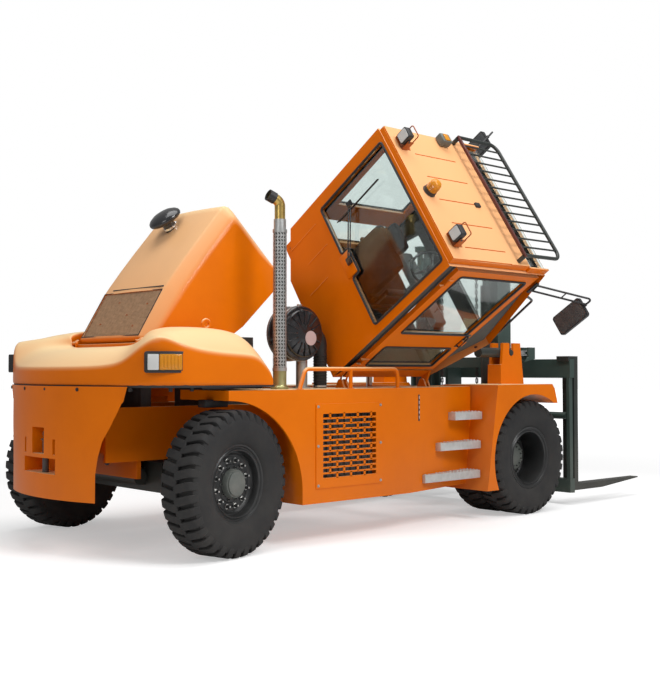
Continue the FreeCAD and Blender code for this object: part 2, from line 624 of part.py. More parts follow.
def hood_body(inset):
    """The hood's outside, or with an inset the room inside its wall, open below."""
    w = HOOD_HALF_W - inset
    xs, zs, radii = zip(*HOOD_CORNERS)
    middle_x = HOOD_REAR_X + 885
    points = []
    for k, (x, z) in enumerate(zip(xs, zs)):
        below = k == 0 or k >= 5
        points.append((x + math.copysign(inset, middle_x - x), z - (4 * inset if below else inset)))
    body = rounded_side_slab(points, radii, -w, w)
    top, bevel = HOOD_TOP_Z + 20 - inset, HOOD_BEVEL
    roof = [(-w, 1000), (-w, top - 2 * bevel), (-w + bevel, top), (w - bevel, top), (w, top - 2 * bevel), (w, 1000)]
    return body.common(rounded_front_slab(roof, [0, 120, 60, 60, 120, 0], HOOD_HINGE_X - 80, HOOD_REAR_X + 1585))


def hood_shell():
    shell = hood_body(0).cut(hood_body(HOOD_WALL)).cut(grille_space(0))
    x, z = HOOD_HINGE_X, HOOD_HINGE_Z
    leaves = []
    for y in HOOD_HINGE_Y:
        leaf = box(x, x + 38, y - 20, y + 20, z - 8, z + 8).fuse(rod((x, y - 20, z), (x, y + 20, z), HINGE_R))
        leaves.append(leaf.cut(rod((x, y - 30, z), (x, y + 30, z), HINGE_PIN_R + 0.5)))
    return fused([shell] + leaves)


def hood_hinge_stands():
    """Lugs with a pin on the cover, one on each side of each hood hinge."""
    x, z = HOOD_HINGE_X, HOOD_HINGE_Z
    stands = []
    for y in HOOD_HINGE_Y:
        for y0 in (y - 34, y + 22):
            stands.append(box(x - 10, x + 10, y0, y0 + 12, DISH_FRONT_Z - 25, z + 8))
        stands.append(rod((x, y - 34, z), (x, y + 34, z), HINGE_PIN_R))
    return stands


def grille_space(gap):
    """Sloped rectangle at the rear of the hood."""
    slope = math.degrees(math.atan2(172, 441))
    plate = box(20 + gap, 455 - gap, -450 + gap, 450 - gap, -18, 20)
    plate = turned(plate, (0, 0, 0), Y_AXIS, -slope)
    return moved(plate, V(HOOD_REAR_X, 0, 1664))


def hood_grille():
    slope = math.degrees(math.atan2(172, 441))
    plate = box(20, 455, -450, 450, -10, -2)
    plate = turned(plate, (0, 0, 0), Y_AXIS, -slope)
    return moved(plate, V(HOOD_REAR_X, 0, 1664))


def air_precleaner():
    """Mushroom cap on a neck, on the hood's top."""
    x, y, z = HOOD_REAR_X + 1155, 120.0, HOOD_TOP_Z - 49
    cap = fused([rod((x, y, z - 40), (x, y, z + 90), 55), Part.makeCone(135, 150, 25, V(x, y, z + 80), Z_AXIS),
                 Part.makeCone(150, 105, 50, V(x, y, z + 105), Z_AXIS)])
    return cap.cut(hood_body(0))


def opened(shape):
    return turned(shape, (HOOD_HINGE_X, 0, HOOD_HINGE_Z), V(0, -1, 0), HOOD_OPEN)


# ---------------------------------------------------------------- cab

def cab_side_outline(inset):
    i = inset
    return [(CAB_X0 + i, CAB_Z0 + i), (CAB_X0 + i, CAB_Z1 - ROOF_T), (-930 - i, CAB_Z1 - ROOF_T), (CAB_X1 - i, 1900),
            (-950 - i, CAB_Z0 + i)]


def cab_frame():
    """Welded cab: rear wall, sides with door openings, front pillars, floor."""
    outer = side_slab(cab_side_outline(0), -CAB_HALF_W, CAB_HALF_W)
    inner = side_slab(cab_side_outline(CAB_WALL), -CAB_HALF_W + CAB_WALL, CAB_HALF_W - CAB_WALL)
    roof_hole = box(CAB_X0 + CAB_WALL, -930 - CAB_WALL, -CAB_HALF_W + CAB_WALL, CAB_HALF_W - CAB_WALL, 2900, 3100)
    body = outer.cut(inner).cut(roof_hole)
    for s in (1, -1):
        y0, y1 = sorted((s * (CAB_HALF_W - CAB_WALL - 5), s * (CAB_HALF_W + 5)))
        body = body.cut(box(DOOR_X0 - DOOR_GAP, DOOR_X1 + DOOR_GAP, y0, y1, DOOR_Z0 - DOOR_GAP, DOOR_Z1 + DOOR_GAP))
    rear_window = box(CAB_X0 - 5, CAB_X0 + CAB_WALL + 5, *REAR_WINDOW_Y, 2015, 2925)
    front_windows = side_slab([(-1010, 2890), (-500, 2890), (-500, 1960), (-720, 1960)], -WINDOW_HALF_W,
                             WINDOW_HALF_W)
    lower_window = side_slab([(-730, 1820), (-500, 1820), (-500, 1420), (-980, 1420)], -WINDOW_HALF_W, WINDOW_HALF_W)
    body = body.cut(rear_window).cut(front_windows).cut(lower_window)
    chamfer = front_slab([(CAB_HALF_W - 425, CAB_Z0 - 10), (CAB_HALF_W + 10, CAB_Z0 - 10), (CAB_HALF_W + 10, 1600)], CAB_X0 - 5,
                         CAB_X0 + 120)
    body = body.cut(chamfer)
    lugs = [cab_lug(x) for x in CAB_LUG_X]
    return fused([body] + lugs + [cylinder_lugs()] + door_hinge_pins())


def cab_lug(x):
    y, z = CAB_HINGE_Y, CAB_HINGE_Z
    plate = front_slab([(y - 8, z - 36), (y + 30, z - 10), (y + 60, z + 25), (y + 60, z + 130), (y + 45, z + 130),
                        (y - 34, z + 14)], x - LUG_T / 2, x + LUG_T / 2)
    eye = rod((x - LUG_T / 2, y, z), (x + LUG_T / 2, y, z), 36)
    return plate.fuse(eye).cut(rod((x - 50, y, z), (x + 50, y, z), 18 + RUN_GAP))


def cylinder_lugs():
    """Two ears under the cab floor that take the tilt cylinder's rod eye."""
    y, z = CYL_EYE_Y, CYL_EYE_Z
    ears = []
    for x0 in (CYL_X - 56, CYL_X + 36):
        ears.append(front_slab([(y - 45, CAB_Z0 + 5), (y + 45, CAB_Z0 + 5), (y + 30, z - 30), (y - 30, z - 30)],
                               x0, x0 + 20))
    return fused(ears + [box(CYL_X - 56, CYL_X + 56, y - 60, y + 60, CAB_Z0 - 2, CAB_Z0 + 10)])


def cab_roof():
    """Roof panel with raised ribs across it and a raised rim."""
    panel = box(CAB_X0, -1190, -CAB_HALF_W + 25, CAB_HALF_W - 25, CAB_Z1 - ROOF_T, CAB_Z1 - 12)
    side = [box(-1190, -925, *sorted((s * (CAB_HALF_W - 35), s * (CAB_HALF_W - 25))), CAB_Z1 - ROOF_T, CAB_Z1 - 12)
            for s in (1, -1)]
    pitch = (CAB_HALF_W - 45) / 3
    ribs = [box(-2090, -1290, y - 55, y + 55, CAB_Z1 - 14, CAB_Z1) for y in ((k - 2.5) * pitch for k in range(6))]
    return fused([panel] + side + ribs)


def cab_glass():
    """Rear, front, lower front and roof panes."""
    rear = box(CAB_X0 + 20, CAB_X0 + 20 + GLASS_T, REAR_WINDOW_Y[0] + 1, REAR_WINDOW_Y[1] - 1, 2016, 2924)
    w = WINDOW_HALF_W - 1
    t = GLASS_T
    front = side_slab([(-1010 + 62, 2889), (-1010 + 62 - t, 2889), (-659, 1961), (-651, 1961)], -w, w)
    low = side_slab([(-660, 1819), (-668, 1819), (-908, 1421), (-900, 1421)], -w, w)
    roof = box(-1189, -935, -CAB_HALF_W + 36, CAB_HALF_W - 36, CAB_Z1 - 50, CAB_Z1 - 50 + GLASS_T)
    return Part.makeCompound([rear, front, low, roof])


def roof_guard():
    """Bar guard over the roof glass: bent tube, rear bar and bars along the truck."""
    z, r = 3110.0, 16.0
    x0, x1, w = -1330.0, -820.0, CAB_HALF_W - 70.0
    hoop = bent_rod([(x0, -w, z), (x1, -w, z), (x1, w, z), (x0, w, z)], r, 90)
    rear = box(x0 - 12, x0 + 12, -w - 16, w + 16, z - 16, z + 12)
    pitch = w / 7
    bars = [rod((x0, k * pitch, z), (x1, k * pitch, z), 8) for k in range(-6, 7)]
    feet = [box(x0 - 12, x0 + 12, s * w - 20, s * w + 20, CAB_Z1 - 12, z) for s in (1, -1)]
    return fused([hoop, rear] + bars + feet)


def cab_door(side):
    """Door with an upper and a lower window opening, on one side of the cab."""
    y0, y1 = sorted((side * (CAB_HALF_W - 38), side * CAB_HALF_W))
    leaf = box(DOOR_X0, DOOR_X1, y0, y1, DOOR_Z0, DOOR_Z1)
    for z0, z1, x0 in ((2030, 2840, -1940), (1520, 1820, -1950)):
        leaf = leaf.cut(box(x0, -1070, y0 - 5, y1 + 5, z0, z1))
    grip_y = sorted((side * CAB_HALF_W, side * (CAB_HALF_W + 28)))
    grip = box(-1060, -1010, grip_y[0], grip_y[1], 1890, 1960)
    x, y = DOOR_X0 + DOOR_HINGE_DX, side * (CAB_HALF_W + DOOR_HINGE_OUT)
    barrels = []
    for z in DOOR_HINGE_Z:
        plate_y = sorted((side * (CAB_HALF_W - 2), y))
        barrel = rod((x, y, z - 30), (x, y, z + 30), DOOR_HINGE_R).fuse(box(x, x + 60, *plate_y, z - 30, z + 30))
        barrels.append(barrel.cut(rod((x, y, z - 40), (x, y, z + 40), HINGE_PIN_R + 0.5)))
    return fused([leaf, grip] + barrels)


def door_hinge_pins():
    """Pins for both doors' hinges, held by a plate above and below each barrel."""
    pins = []
    for side in (1, -1):
        x, y = DOOR_X0 + DOOR_HINGE_DX, side * (CAB_HALF_W + DOOR_HINGE_OUT)
        plate_y = sorted((side * (CAB_HALF_W - 2), y + side * DOOR_HINGE_R))
        for z in DOOR_HINGE_Z:
            pins.append(rod((x, y, z - 38), (x, y, z + 38), HINGE_PIN_R))
            for z0 in (z - 38, z + 32):
                pins.append(box(x - 50, x, *plate_y, z0, z0 + 6))
                pins.append(rod((x, y, z0), (x, y, z0 + 6), DOOR_HINGE_R))
    return pins


def door_glass(side):
    y = side * (CAB_HALF_W - 20)
    panes = [box(x0, -1070, y - GLASS_T / 2, y + GLASS_T / 2, z0, z1)
             for z0, z1, x0 in ((2030, 2840, -1940), (1520, 1820, -1950))]
    return Part.makeCompound(panes)


def seat():
    x, y = -1620.0, 0.0
    return fused([box(x - 250, x + 250, -250, 250, 1780, 1900), box(x - 330, x - 210, -240, 240, 1860, 2480),
                  box(x - 200, x + 200, -180, 180, CAB_Z0 + CAB_WALL, 1790)])


def dashboard():
    """Front console with the steering column and wheel."""
    console = box(-1060, -900, -420, 420, 1700, 1790)
    leg = box(-1060, -1000, -80, 80, CAB_Z0 + CAB_WALL, 1710)
    column = rod((-960, 0, 1780), (-1120, 0, 2060), 30)
    wheel = Part.makeTorus(190, 14, V(-1120, 0, 2060), V(-160, 0, 280))
    spoke = box(-1132, -1108, -185, 185, 2048, 2072)
    return fused([console, leg, column, wheel, spoke])


def roof_lamps():
    """Two work lamps on brackets and the beacon, on the roof's rear edge."""
    lamps = []
    for y in (520.0, -520.0):
        foot = box(-2120, -2000, y - 60, y + 60, CAB_Z1, CAB_Z1 + 10)
        head = box(-2140, -2060, y - 55, y + 55, CAB_Z1 + 25, CAB_Z1 + 145)
        stem = box(-2080, -2050, y - 15, y + 15, CAB_Z1 + 5, CAB_Z1 + 40)
        lamps.append(fused([foot, stem, head]))
    beacon = fused([rod((-2050, 0, CAB_Z1 - 12), (-2050, 0, CAB_Z1 + 20), 58),
                    rod((-2050, 0, CAB_Z1 + 10), (-2050, 0, CAB_Z1 + 120), 55)])
    return Part.makeCompound(lamps + [beacon])


def mirror_arm(side):
    """Tubular arm at the front pillar, with its mirror hanging from it."""
    y0 = side * (CAB_HALF_W - 10)
    y1 = side * (CAB_HALF_W + 270)
    arm = bent_rod([(-900, y0, 2812), (-500, y1, 3010), (-500, y1, 2935), (-885, y0, 2735)], 11, 25)
    mirror = box(-520, -480, *sorted((side * (CAB_HALF_W + 170), side * (CAB_HALF_W + 370))), 2575, 2915)
    return fused([arm, mirror, rod((-500, y1, 2900), (-500, y1, 2945), 11)])


def tilted(shape):
    return turned(shape, (0, CAB_HINGE_Y, CAB_HINGE_Z), X_AXIS, CAB_TILT)


def cylinder_axis():
    """Base and rod eye of the cab's tilt cylinder, with the cab tilted."""
    base = V(CYL_X, CYL_BASE_Y, CYL_BASE_Z)
    eye = V(CYL_X, CYL_EYE_Y, CYL_EYE_Z) - V(CYL_X, CAB_HINGE_Y, CAB_HINGE_Z)
    eye = FreeCAD.Rotation(X_AXIS, CAB_TILT).multVec(eye) + V(CYL_X, CAB_HINGE_Y, CAB_HINGE_Z)
    return base, eye


def cab_cylinder():
    base, eye = cylinder_axis()
    u = (eye - base).normalize()
    top = base + u * CYL_BARREL_LEN
    barrel = rod(base + u * 55, top, CYL_BARREL_R).cut(rod(base + u * 67, top + u * 5, CYL_ROD_R + RUN_GAP))
    foot = rod(base - X_AXIS * 30, base + X_AXIS * 30, 42).fuse(rod(base, base + u * 60, 28))
    return fused([barrel, foot]).cut(rod(base - X_AXIS * 60, base + X_AXIS * 60, CYL_PIN_R + RUN_GAP))


def cab_cylinder_rod():
    base, eye = cylinder_axis()
    u = (eye - base).normalize()
    shaft = rod(base + u * (CYL_BARREL_LEN - 45), eye - u * 20, CYL_ROD_R)
    return fused([shaft, rod(eye - X_AXIS * 28, eye + X_AXIS * 28, 38)])


# ---------------------------------------------------------------- front end

def front_fender():
    """Left mudguard over the twin wheels, with the slotted tower for the tilt cylinder."""
    outline = [(-730, 285), (-560, 285), (-560, 560), (560, 560), (340, 1235), (300, FENDER_Z1), (-570, FENDER_Z1)]
    body = side_slab(outline, FENDER_IN_Y, FENDER_OUT_Y)
    arch = rod((0, FENDER_IN_Y - 10, TYRE_R), (0, FENDER_OUT_Y + 10, TYRE_R), FENDER_ARCH_R)
    body = body.cut(arch).cut(box(0, 700, 0, 1400, 0, 1090))
    body = body.cut(side_box())
    cheeks = []
    for y in (EAR_Y - 85, EAR_Y + 55):
        plate = side_slab([(0, FENDER_Z1 - 5), (380, FENDER_Z1 - 5), (320, 1700), (40, 1700)], y, y + 30)
        slot = box(TRUNNION_X - 32, TRUNNION_X + 32, y - 5, y + 35, EAR_Z, 1800)
        slot = slot.fuse(rod((TRUNNION_X, y - 5, EAR_Z), (TRUNNION_X, y + 35, EAR_Z), 32))
        cheeks.append(plate.cut(slot))
    back = box(0, 30, EAR_Y - 85, EAR_Y + 85, FENDER_Z1 - 5, 1480)
    return fused([body] + cheeks + [back])


def mast_rail(out_y, x0, x1, z0, z1, web, flange, depth):
    """Left channel rail, open towards the middle."""
    return fused([box(x0, x1, out_y - web, out_y, z0, z1), box(x0, x0 + flange, out_y - depth, out_y, z0, z1),
                  box(x1 - flange, x1, out_y - depth, out_y, z0, z1)])


def outer_mast():
    rails = mast_rail(MAST_OUT_Y, MAST_X0, MAST_X1, MAST_Z0, MAST_Z1, 30, 25, 120)
    boss = ring_y(MAST_HINGE_X, MAST_OUT_Y - 30, MAST_OUT_Y + 18, MAST_HINGE_Z, 60, 34 + RUN_GAP)
    boss = boss.cut(box(MAST_X0 + 25, 900, 0, MAST_OUT_Y - 30, 0, 900))
    ears = []
    for y in (EAR_Y - 50, EAR_Y + 30):
        ears.append(side_slab([(MAST_X0 + 60, EAR_Z - 90), (MAST_X1, EAR_Z - 60), (MAST_X1, EAR_Z + 60),
                               (EAR_X - 55, EAR_Z + 60), (EAR_X - 55, EAR_Z - 40)], y, y + 20))
    arm = box(MAST_X1 - 16, MAST_X1, MAST_OUT_Y - 10, EAR_Y + 50, EAR_Z - 60, EAR_Z + 60)
    half = fused([rails.cut(rod((MAST_HINGE_X, 500, MAST_HINGE_Z), (MAST_HINGE_X, 600, MAST_HINGE_Z),
                                34 + RUN_GAP)), boss, arm] + ears)
    ties = [box(MAST_X0 - 30, MAST_X0, -MAST_OUT_Y, MAST_OUT_Y, z0, z1)
            for z0, z1 in ((MAST_Z1 - 160, MAST_Z1 - 20), (1450, 1560), (620, 720))]
    foot = box(LIFT_X - LIFT_R, MAST_X0, -MAST_OUT_Y, MAST_OUT_Y, MAST_Z0, MAST_Z0 + 40)
    return fused([half, mirrored(half), foot] + ties)


LIFT_Y, LIFT_X, LIFT_R = 470.0, 310.0, 55.0
LIFT_TOP = 2330.0
LIFT_DROP = 50.0          # how far the forks go below the parked height
HEAD_Z0, HEAD_Z1 = MAST_Z1 + LIFT_DROP + 8, MAST_Z1 + LIFT_DROP + 70


def lift_cylinder():
    return tube((LIFT_X, LIFT_Y, MAST_Z0 + 40), (LIFT_X, LIFT_Y, LIFT_TOP), LIFT_R, 36)


def inner_mast():
    """Inner rails with the head beam and the two lift rods."""
    rail = mast_rail(MAST_OUT_Y - 35, MAST_X0 + 30, MAST_X1 - 30, 260, HEAD_Z0 - 60, 28, 20, 100)
    head = box(MAST_X0 + 30, MAST_X1 - 30, -MAST_OUT_Y + 35, MAST_OUT_Y - 35, HEAD_Z0 - 62, HEAD_Z1)
    reach = [box(LIFT_X - 40, MAST_X0 + 40, s * LIFT_Y - 45, s * LIFT_Y + 45, HEAD_Z0, HEAD_Z1) for s in (1, -1)]
    rods = [rod((LIFT_X, s * LIFT_Y, 500), (LIFT_X, s * LIFT_Y, HEAD_Z0 + 5), 34) for s in (1, -1)]
    foot = box(MAST_X0 + 30, MAST_X0 + 50, -MAST_OUT_Y + 35, MAST_OUT_Y - 35, 300, 420)
    return fused([rail, mirrored(rail), head, foot] + reach + rods)


def carriage():
    """Side plates on rollers, two fork bars and the shaft between them."""
    x = CARRIAGE_X
    bars = [box(x, x + BAR_T, -BAR_HALF_W, BAR_HALF_W, 1340, 1540), box(x, x + BAR_T, -BAR_HALF_W, BAR_HALF_W, 130, 280)]
    plates = []
    for s in (1, -1):
        plates += [box(MAST_X0 + 75, x + 10, s * 365 - 20, s * 365 + 20, 240, 960),
                   box(MAST_X1 + 10, x + 10, s * 365 - 20, s * 365 + 20, 240, 1500)]
    rollers = []
    for s in (1, -1):
        for z in (330, 880):
            rollers.append(rod(((MAST_X0 + MAST_X1) / 2, s * 350, z), ((MAST_X0 + MAST_X1) / 2, s * 490, z), 55))
    shaft = rod((x + 30, -BAR_HALF_W + 60, 940), (x + 30, BAR_HALF_W - 60, 940), 40)
    ends = [box(x, x + 60, s * (BAR_HALF_W - 30) - 20, s * (BAR_HALF_W - 30) + 20, 275, 1345) for s in (1, -1)]
    return fused(bars + plates + rollers + [shaft] + ends)


def fork(y):
    """L-shaped fork that hooks over the top bar."""
    x = CARRIAGE_X + BAR_T + 1
    heel = x + FORK_T
    top = FORK_Z0 + FORK_T
    side = [(x, FORK_Z0), (heel + 450, FORK_Z0), (FORK_TIP_X, top - 18), (FORK_TIP_X, top - 6),
            (FORK_TIP_X - 30, top), (heel + 25, top), (heel, top + 25), (heel, 1572), (CARRIAGE_X - 26, 1572),
            (CARRIAGE_X - 26, 1515), (CARRIAGE_X - 2, 1515), (CARRIAGE_X - 2, 1542), (x, 1542)]
    return side_slab(side, y - FORK_W / 2, y + FORK_W / 2)


TILT_BARREL_X0, TILT_BARREL_X1 = -240.0, 240.0
TILT_BACK_STROKE = 255.0


def tilt_cylinder():
    """Left tilt cylinder's barrel with the trunnion that rests in the tower's slots."""
    barrel = tube((TILT_BARREL_X0, EAR_Y, EAR_Z), (TILT_BARREL_X1, EAR_Y, EAR_Z), 50, 28)
    cap = rod((TILT_BARREL_X0 - 20, EAR_Y, EAR_Z), (TILT_BARREL_X0, EAR_Y, EAR_Z), 50)
    trunnion = rod((TRUNNION_X, EAR_Y - 90, EAR_Z), (TRUNNION_X, EAR_Y + 90, EAR_Z), 30)
    trunnion = trunnion.cut(rod((TRUNNION_X - 60, EAR_Y, EAR_Z), (TRUNNION_X + 60, EAR_Y, EAR_Z), 40))
    return fused([barrel, cap, trunnion])


def tilt_rod():
    shaft = rod((TILT_BARREL_X0 + TILT_BACK_STROKE, EAR_Y, EAR_Z), (EAR_X - 20, EAR_Y, EAR_Z), 27)
    return fused([shaft, rod((EAR_X, EAR_Y - 24, EAR_Z), (EAR_X, EAR_Y + 24, EAR_Z), 36)])


# ---------------------------------------------------------------- the whole truck

def wheel_nodes():
    rim, rubber = rear_wheel()
    rims, rubbers = twin_wheels()
    return {
        "left_knuckle": steered(knuckle(), 1), "right_knuckle": steered(mirrored(knuckle()), -1),
        "rear_left_rim": steered(rim, 1), "rear_left_tyre": steered(rubber, 1),
        "rear_right_rim": steered(mirrored(rim), -1), "rear_right_tyre": steered(mirrored(rubber), -1),
        "front_left_rims": rims, "front_left_tyres": rubbers,
        "front_right_rims": mirrored(rims), "front_right_tyres": mirrored(rubbers)}


def chassis_nodes():
    return {
        "chassis_frame": chassis_frame(), "vent_panels": pair(vent_panel()), "counterweight": counterweight(),
        "counterweight_cover": counterweight_cover().cut(pair(tail_lamp(200))), "front_fenders": pair(front_fender()),
        "step_treads": step_treads(), "handrails": handrails().cut(chassis_frame()), "engine_block": engine_block(),
        "air_cleaner": air_cleaner(), "intake_hose": intake_hose(), "exhaust_stack": exhaust_stack(), "drive_axle": drive_axle(),
        "steer_axle": steer_axle(), "tow_pin": tow_pin(), "tail_lamps": pair(tail_lamp())}


def hood_nodes():
    return {name: opened(shape) for name, shape in (
        ("hood_shell", hood_shell()), ("hood_grille", hood_grille()), ("air_precleaner", air_precleaner()))}


def cab_nodes():
    upright = {
        "cab_frame": cab_frame(), "cab_roof": cab_roof(), "cab_glass": cab_glass(), "roof_guard": roof_guard(),
        "seat": seat(), "dashboard": dashboard(), "roof_lamps": roof_lamps(),
        "mirrors": Part.makeCompound([mirror_arm(1), mirror_arm(-1)]).cut(cab_frame()), "left_door": cab_door(1),
        "left_door_glass": door_glass(1), "right_door": cab_door(-1), "right_door_glass": door_glass(-1)}
    nodes = {name: tilted(shape) for name, shape in upright.items()}
    nodes["cab_cylinder"] = cab_cylinder()
    nodes["cab_cylinder_rod"] = cab_cylinder_rod()
    return nodes


def front_nodes():
    return {
        "outer_mast": outer_mast(), "lift_cylinders": pair(lift_cylinder()), "inner_mast": inner_mast(),
        "carriage": carriage(), "left_fork": fork(FORK_Y), "right_fork": fork(-FORK_Y),
        "tilt_cylinders": pair(tilt_cylinder()), "tilt_rods": pair(tilt_rod())}


def all_nodes():
    nodes = {}
    for group in (chassis_nodes(), hood_nodes(), cab_nodes(), wheel_nodes(), front_nodes()):
        nodes.update(group)
    return nodes


def footprint_shift(nodes):
    """From the drive axle's floor point to the middle of the whole truck's box."""
    bounds = Part.makeCompound(list(nodes.values())).optimalBoundingBox(False, False)
    return V(-(bounds.XMin + bounds.XMax) / 2, -(bounds.YMin + bounds.YMax) / 2, 0)


NODES = all_nodes()
SHIFT = footprint_shift(NODES)
NODES = {name: moved(shape, SHIFT) for name, shape in NODES.items()}

os.makedirs("parts", exist_ok=True)
for name, shape in NODES.items():
    shape.exportStep("parts/" + name + ".step")
    print(name, "solids", len(shape.Solids), "valid", shape.isValid())
print("shift", SHIFT)
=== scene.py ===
# %% [markdown]
# # A diesel forklift with its cab tilted and its hood open
#
# The construction was drawn first, in millimetres, and comes in here as a fixed frame
# of steel parts. This notebook dresses that frame: it gives every part a finish, and
# replaces the plain parts with ones that have the rounded edges, treads, bolts, seals
# and wires of the real machine.
#
# Each piece is a small mesh made with Blender's own mesh operators, in the same
# millimetres as the drawing, and is then put in its place in metres.

# %% Load the frame and keep its box
import json
import math

import bmesh
import bpy
from mathutils import Matrix, Vector

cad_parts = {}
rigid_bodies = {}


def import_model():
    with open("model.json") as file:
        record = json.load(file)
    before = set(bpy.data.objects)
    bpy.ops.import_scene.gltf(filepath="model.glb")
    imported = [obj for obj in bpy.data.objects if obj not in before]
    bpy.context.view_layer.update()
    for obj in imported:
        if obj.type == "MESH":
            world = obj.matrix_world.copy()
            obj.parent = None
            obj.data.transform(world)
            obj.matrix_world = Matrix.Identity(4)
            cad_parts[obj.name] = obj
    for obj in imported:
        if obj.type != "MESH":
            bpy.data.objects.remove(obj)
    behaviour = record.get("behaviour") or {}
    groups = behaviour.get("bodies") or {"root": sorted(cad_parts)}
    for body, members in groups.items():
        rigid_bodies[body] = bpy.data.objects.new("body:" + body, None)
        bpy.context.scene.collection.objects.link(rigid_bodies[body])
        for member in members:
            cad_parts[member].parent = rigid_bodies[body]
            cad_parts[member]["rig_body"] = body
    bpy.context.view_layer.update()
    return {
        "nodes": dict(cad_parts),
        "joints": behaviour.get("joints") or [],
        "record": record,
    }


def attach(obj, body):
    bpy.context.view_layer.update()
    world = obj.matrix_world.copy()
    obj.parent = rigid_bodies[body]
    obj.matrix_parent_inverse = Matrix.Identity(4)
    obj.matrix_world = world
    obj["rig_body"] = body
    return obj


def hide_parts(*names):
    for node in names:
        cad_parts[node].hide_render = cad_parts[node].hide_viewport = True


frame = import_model()

# %% [markdown]
# ## Where the truck stands
#
# The truck is drawn with X forward, Y to its left and Z up, from the floor under the
# drive axle. The mast's pivot is a point known in both places, so it ties the drawing
# to the frame. The cab and the hood are drawn lowered, as their makers would, and are
# then swung about their hinges to the angle at which they stand.

# %% Places: the truck, the opened hood, the tilted cab and the steered wheels
MAST_PIVOT = Vector((420, 0, 450))
pivot = next(j for j in frame["joints"] if j["name"] == "mast_tilt")["pos_m"]
ORIGIN = Vector(pivot) - MAST_PIVOT / 1000
TRUCK = Matrix.Translation(ORIGIN) @ Matrix.Scale(0.001, 4)
WHEELBASE, AXLE_Z = 3700, 560
X, Y, Z = Vector((1, 0, 0)), Vector((0, 1, 0)), Vector((0, 0, 1))


def swung(point, axis, degrees):
    there = Matrix.Translation(point)
    return there @ Matrix.Rotation(math.radians(degrees), 4, axis) @ there.inverted()


def on_side(place, side):
    """The place itself on the left (1), mirrored on the right (-1)."""
    return place @ Matrix.Diagonal((1, side, 1, 1))


SIDES = ((1, "left"), (-1, "right"))
HOOD_HINGE, HOOD_OPEN = Vector((-4020, 0, 1650)), 38
CAB_HINGE, CAB_TILTED = Vector((0, -780, 1310)), 57
KINGPIN_Y, STEERED_BY = 880, 11.5
HOOD = TRUCK @ swung(HOOD_HINGE, -Y, HOOD_OPEN)
CAB = TRUCK @ swung(CAB_HINGE, X, CAB_TILTED)
STEERED = {s: TRUCK @ swung((-WHEELBASE, s * KINGPIN_Y, 0), Z, STEERED_BY) for s in (1, -1)}
print("truck origin", [round(v, 4) for v in ORIGIN])

# %% [markdown]
# ## Making meshes
#
# A few short helpers cover most of the truck. A plate is a flat outline that is
# extruded, a turned part is a profile that is spun, a bent bar is a ring that is
# extruded along its straights and spun round its bends. Corners of an outline are
# rounded while it is still flat, because a bevel of its vertices is then a clean arc.

# %% Helpers for plates, blocks and turned parts
PLANES = {"side": (0, 2, 1), "front": (1, 2, 0), "plan": (0, 1, 2)}


def painted(bm, before, material):
    """Gives the faces that came after the first ones their finish."""
    for face in list(bm.faces)[before:]:
        face.material_index = material


def flat_face(bm, outline, plane, level, radii=None):
    """A flat face from (across, up) points; radii rounds its corners."""
    a, b, c = PLANES[plane]
    verts = []
    for point in outline:
        co = [0, 0, 0]
        co[a], co[b], co[c] = point[0], point[1], level
        verts.append(bm.verts.new(co))
    face = bm.faces.new(verts)
    if radii:
        radii = radii if hasattr(radii, "__len__") else [radii] * len(verts)
        for vert, radius in zip(verts, radii):
            if radius:
                near = [e.other_vert(vert).co - vert.co for e in vert.link_edges]
                reach = radius / math.tan(near[0].angle(near[1]) / 2)
                made = bmesh.ops.bevel(bm, geom=[vert], offset=reach, offset_type="OFFSET", affect="VERTICES",
                                       segments=6, profile=0.5, clamp_overlap=False, material=-1)
                face = made["faces"][0] if made["faces"] else face
        face = max((f for v in bm.verts[-1:] for f in v.link_faces), default=face, key=lambda f: f.calc_area())
    return face


def plate(bm, outline, plane, start, end, radii=None):
    """A flat outline extruded from start to end across its plane."""
    face = flat_face(bm, outline, plane, start, radii)
    run = Vector([0, 0, 0])
    run[PLANES[plane][2]] = end - start
    made = bmesh.ops.extrude_face_region(bm, geom=[face], use_keep_orig=True)["geom"]
    bmesh.ops.translate(bm, vec=run, verts=[v for v in made if isinstance(v, bmesh.types.BMVert)])


def block(bm, x0, x1, y0, y1, z0, z1, edge=0, material=0, place=Matrix()):
    """A box with its edges rounded over."""
    before = len(bm.faces)
    at = Matrix.Translation(((x0 + x1) / 2, (y0 + y1) / 2, (z0 + z1) / 2))
    size = Matrix.Diagonal((abs(x1 - x0), abs(y1 - y0), abs(z1 - z0), 1))
    made = bmesh.ops.create_cube(bm, size=1, matrix=at @ size)["verts"]
    if edge:
        edges = {e for v in made for e in v.link_edges}
        made = bmesh.ops.bevel(bm, geom=list(edges), offset=edge, offset_type="OFFSET", affect="EDGES",
                               segments=2, profile=0.5, clamp_overlap=True, material=-1)["verts"]
    bmesh.ops.transform(bm, matrix=place, verts=list({v for f in list(bm.faces)[before:] for v in f.verts}))
    painted(bm, before, material)


def rod(bm, start, end, radius, end_radius=None, sides=24, material=0):
    """A round bar or a cone from start to end."""
    before = len(bm.faces)
    start, end = Vector(start), Vector(end)
    turn = (end - start).to_track_quat("Z", "Y").to_matrix().to_4x4()
    bmesh.ops.create_cone(bm, cap_ends=True, segments=sides, radius1=radius,
                          radius2=radius if end_radius is None else end_radius, depth=(end - start).length,
                          matrix=Matrix.Translation((start + end) / 2) @ turn)
    painted(bm, before, material)


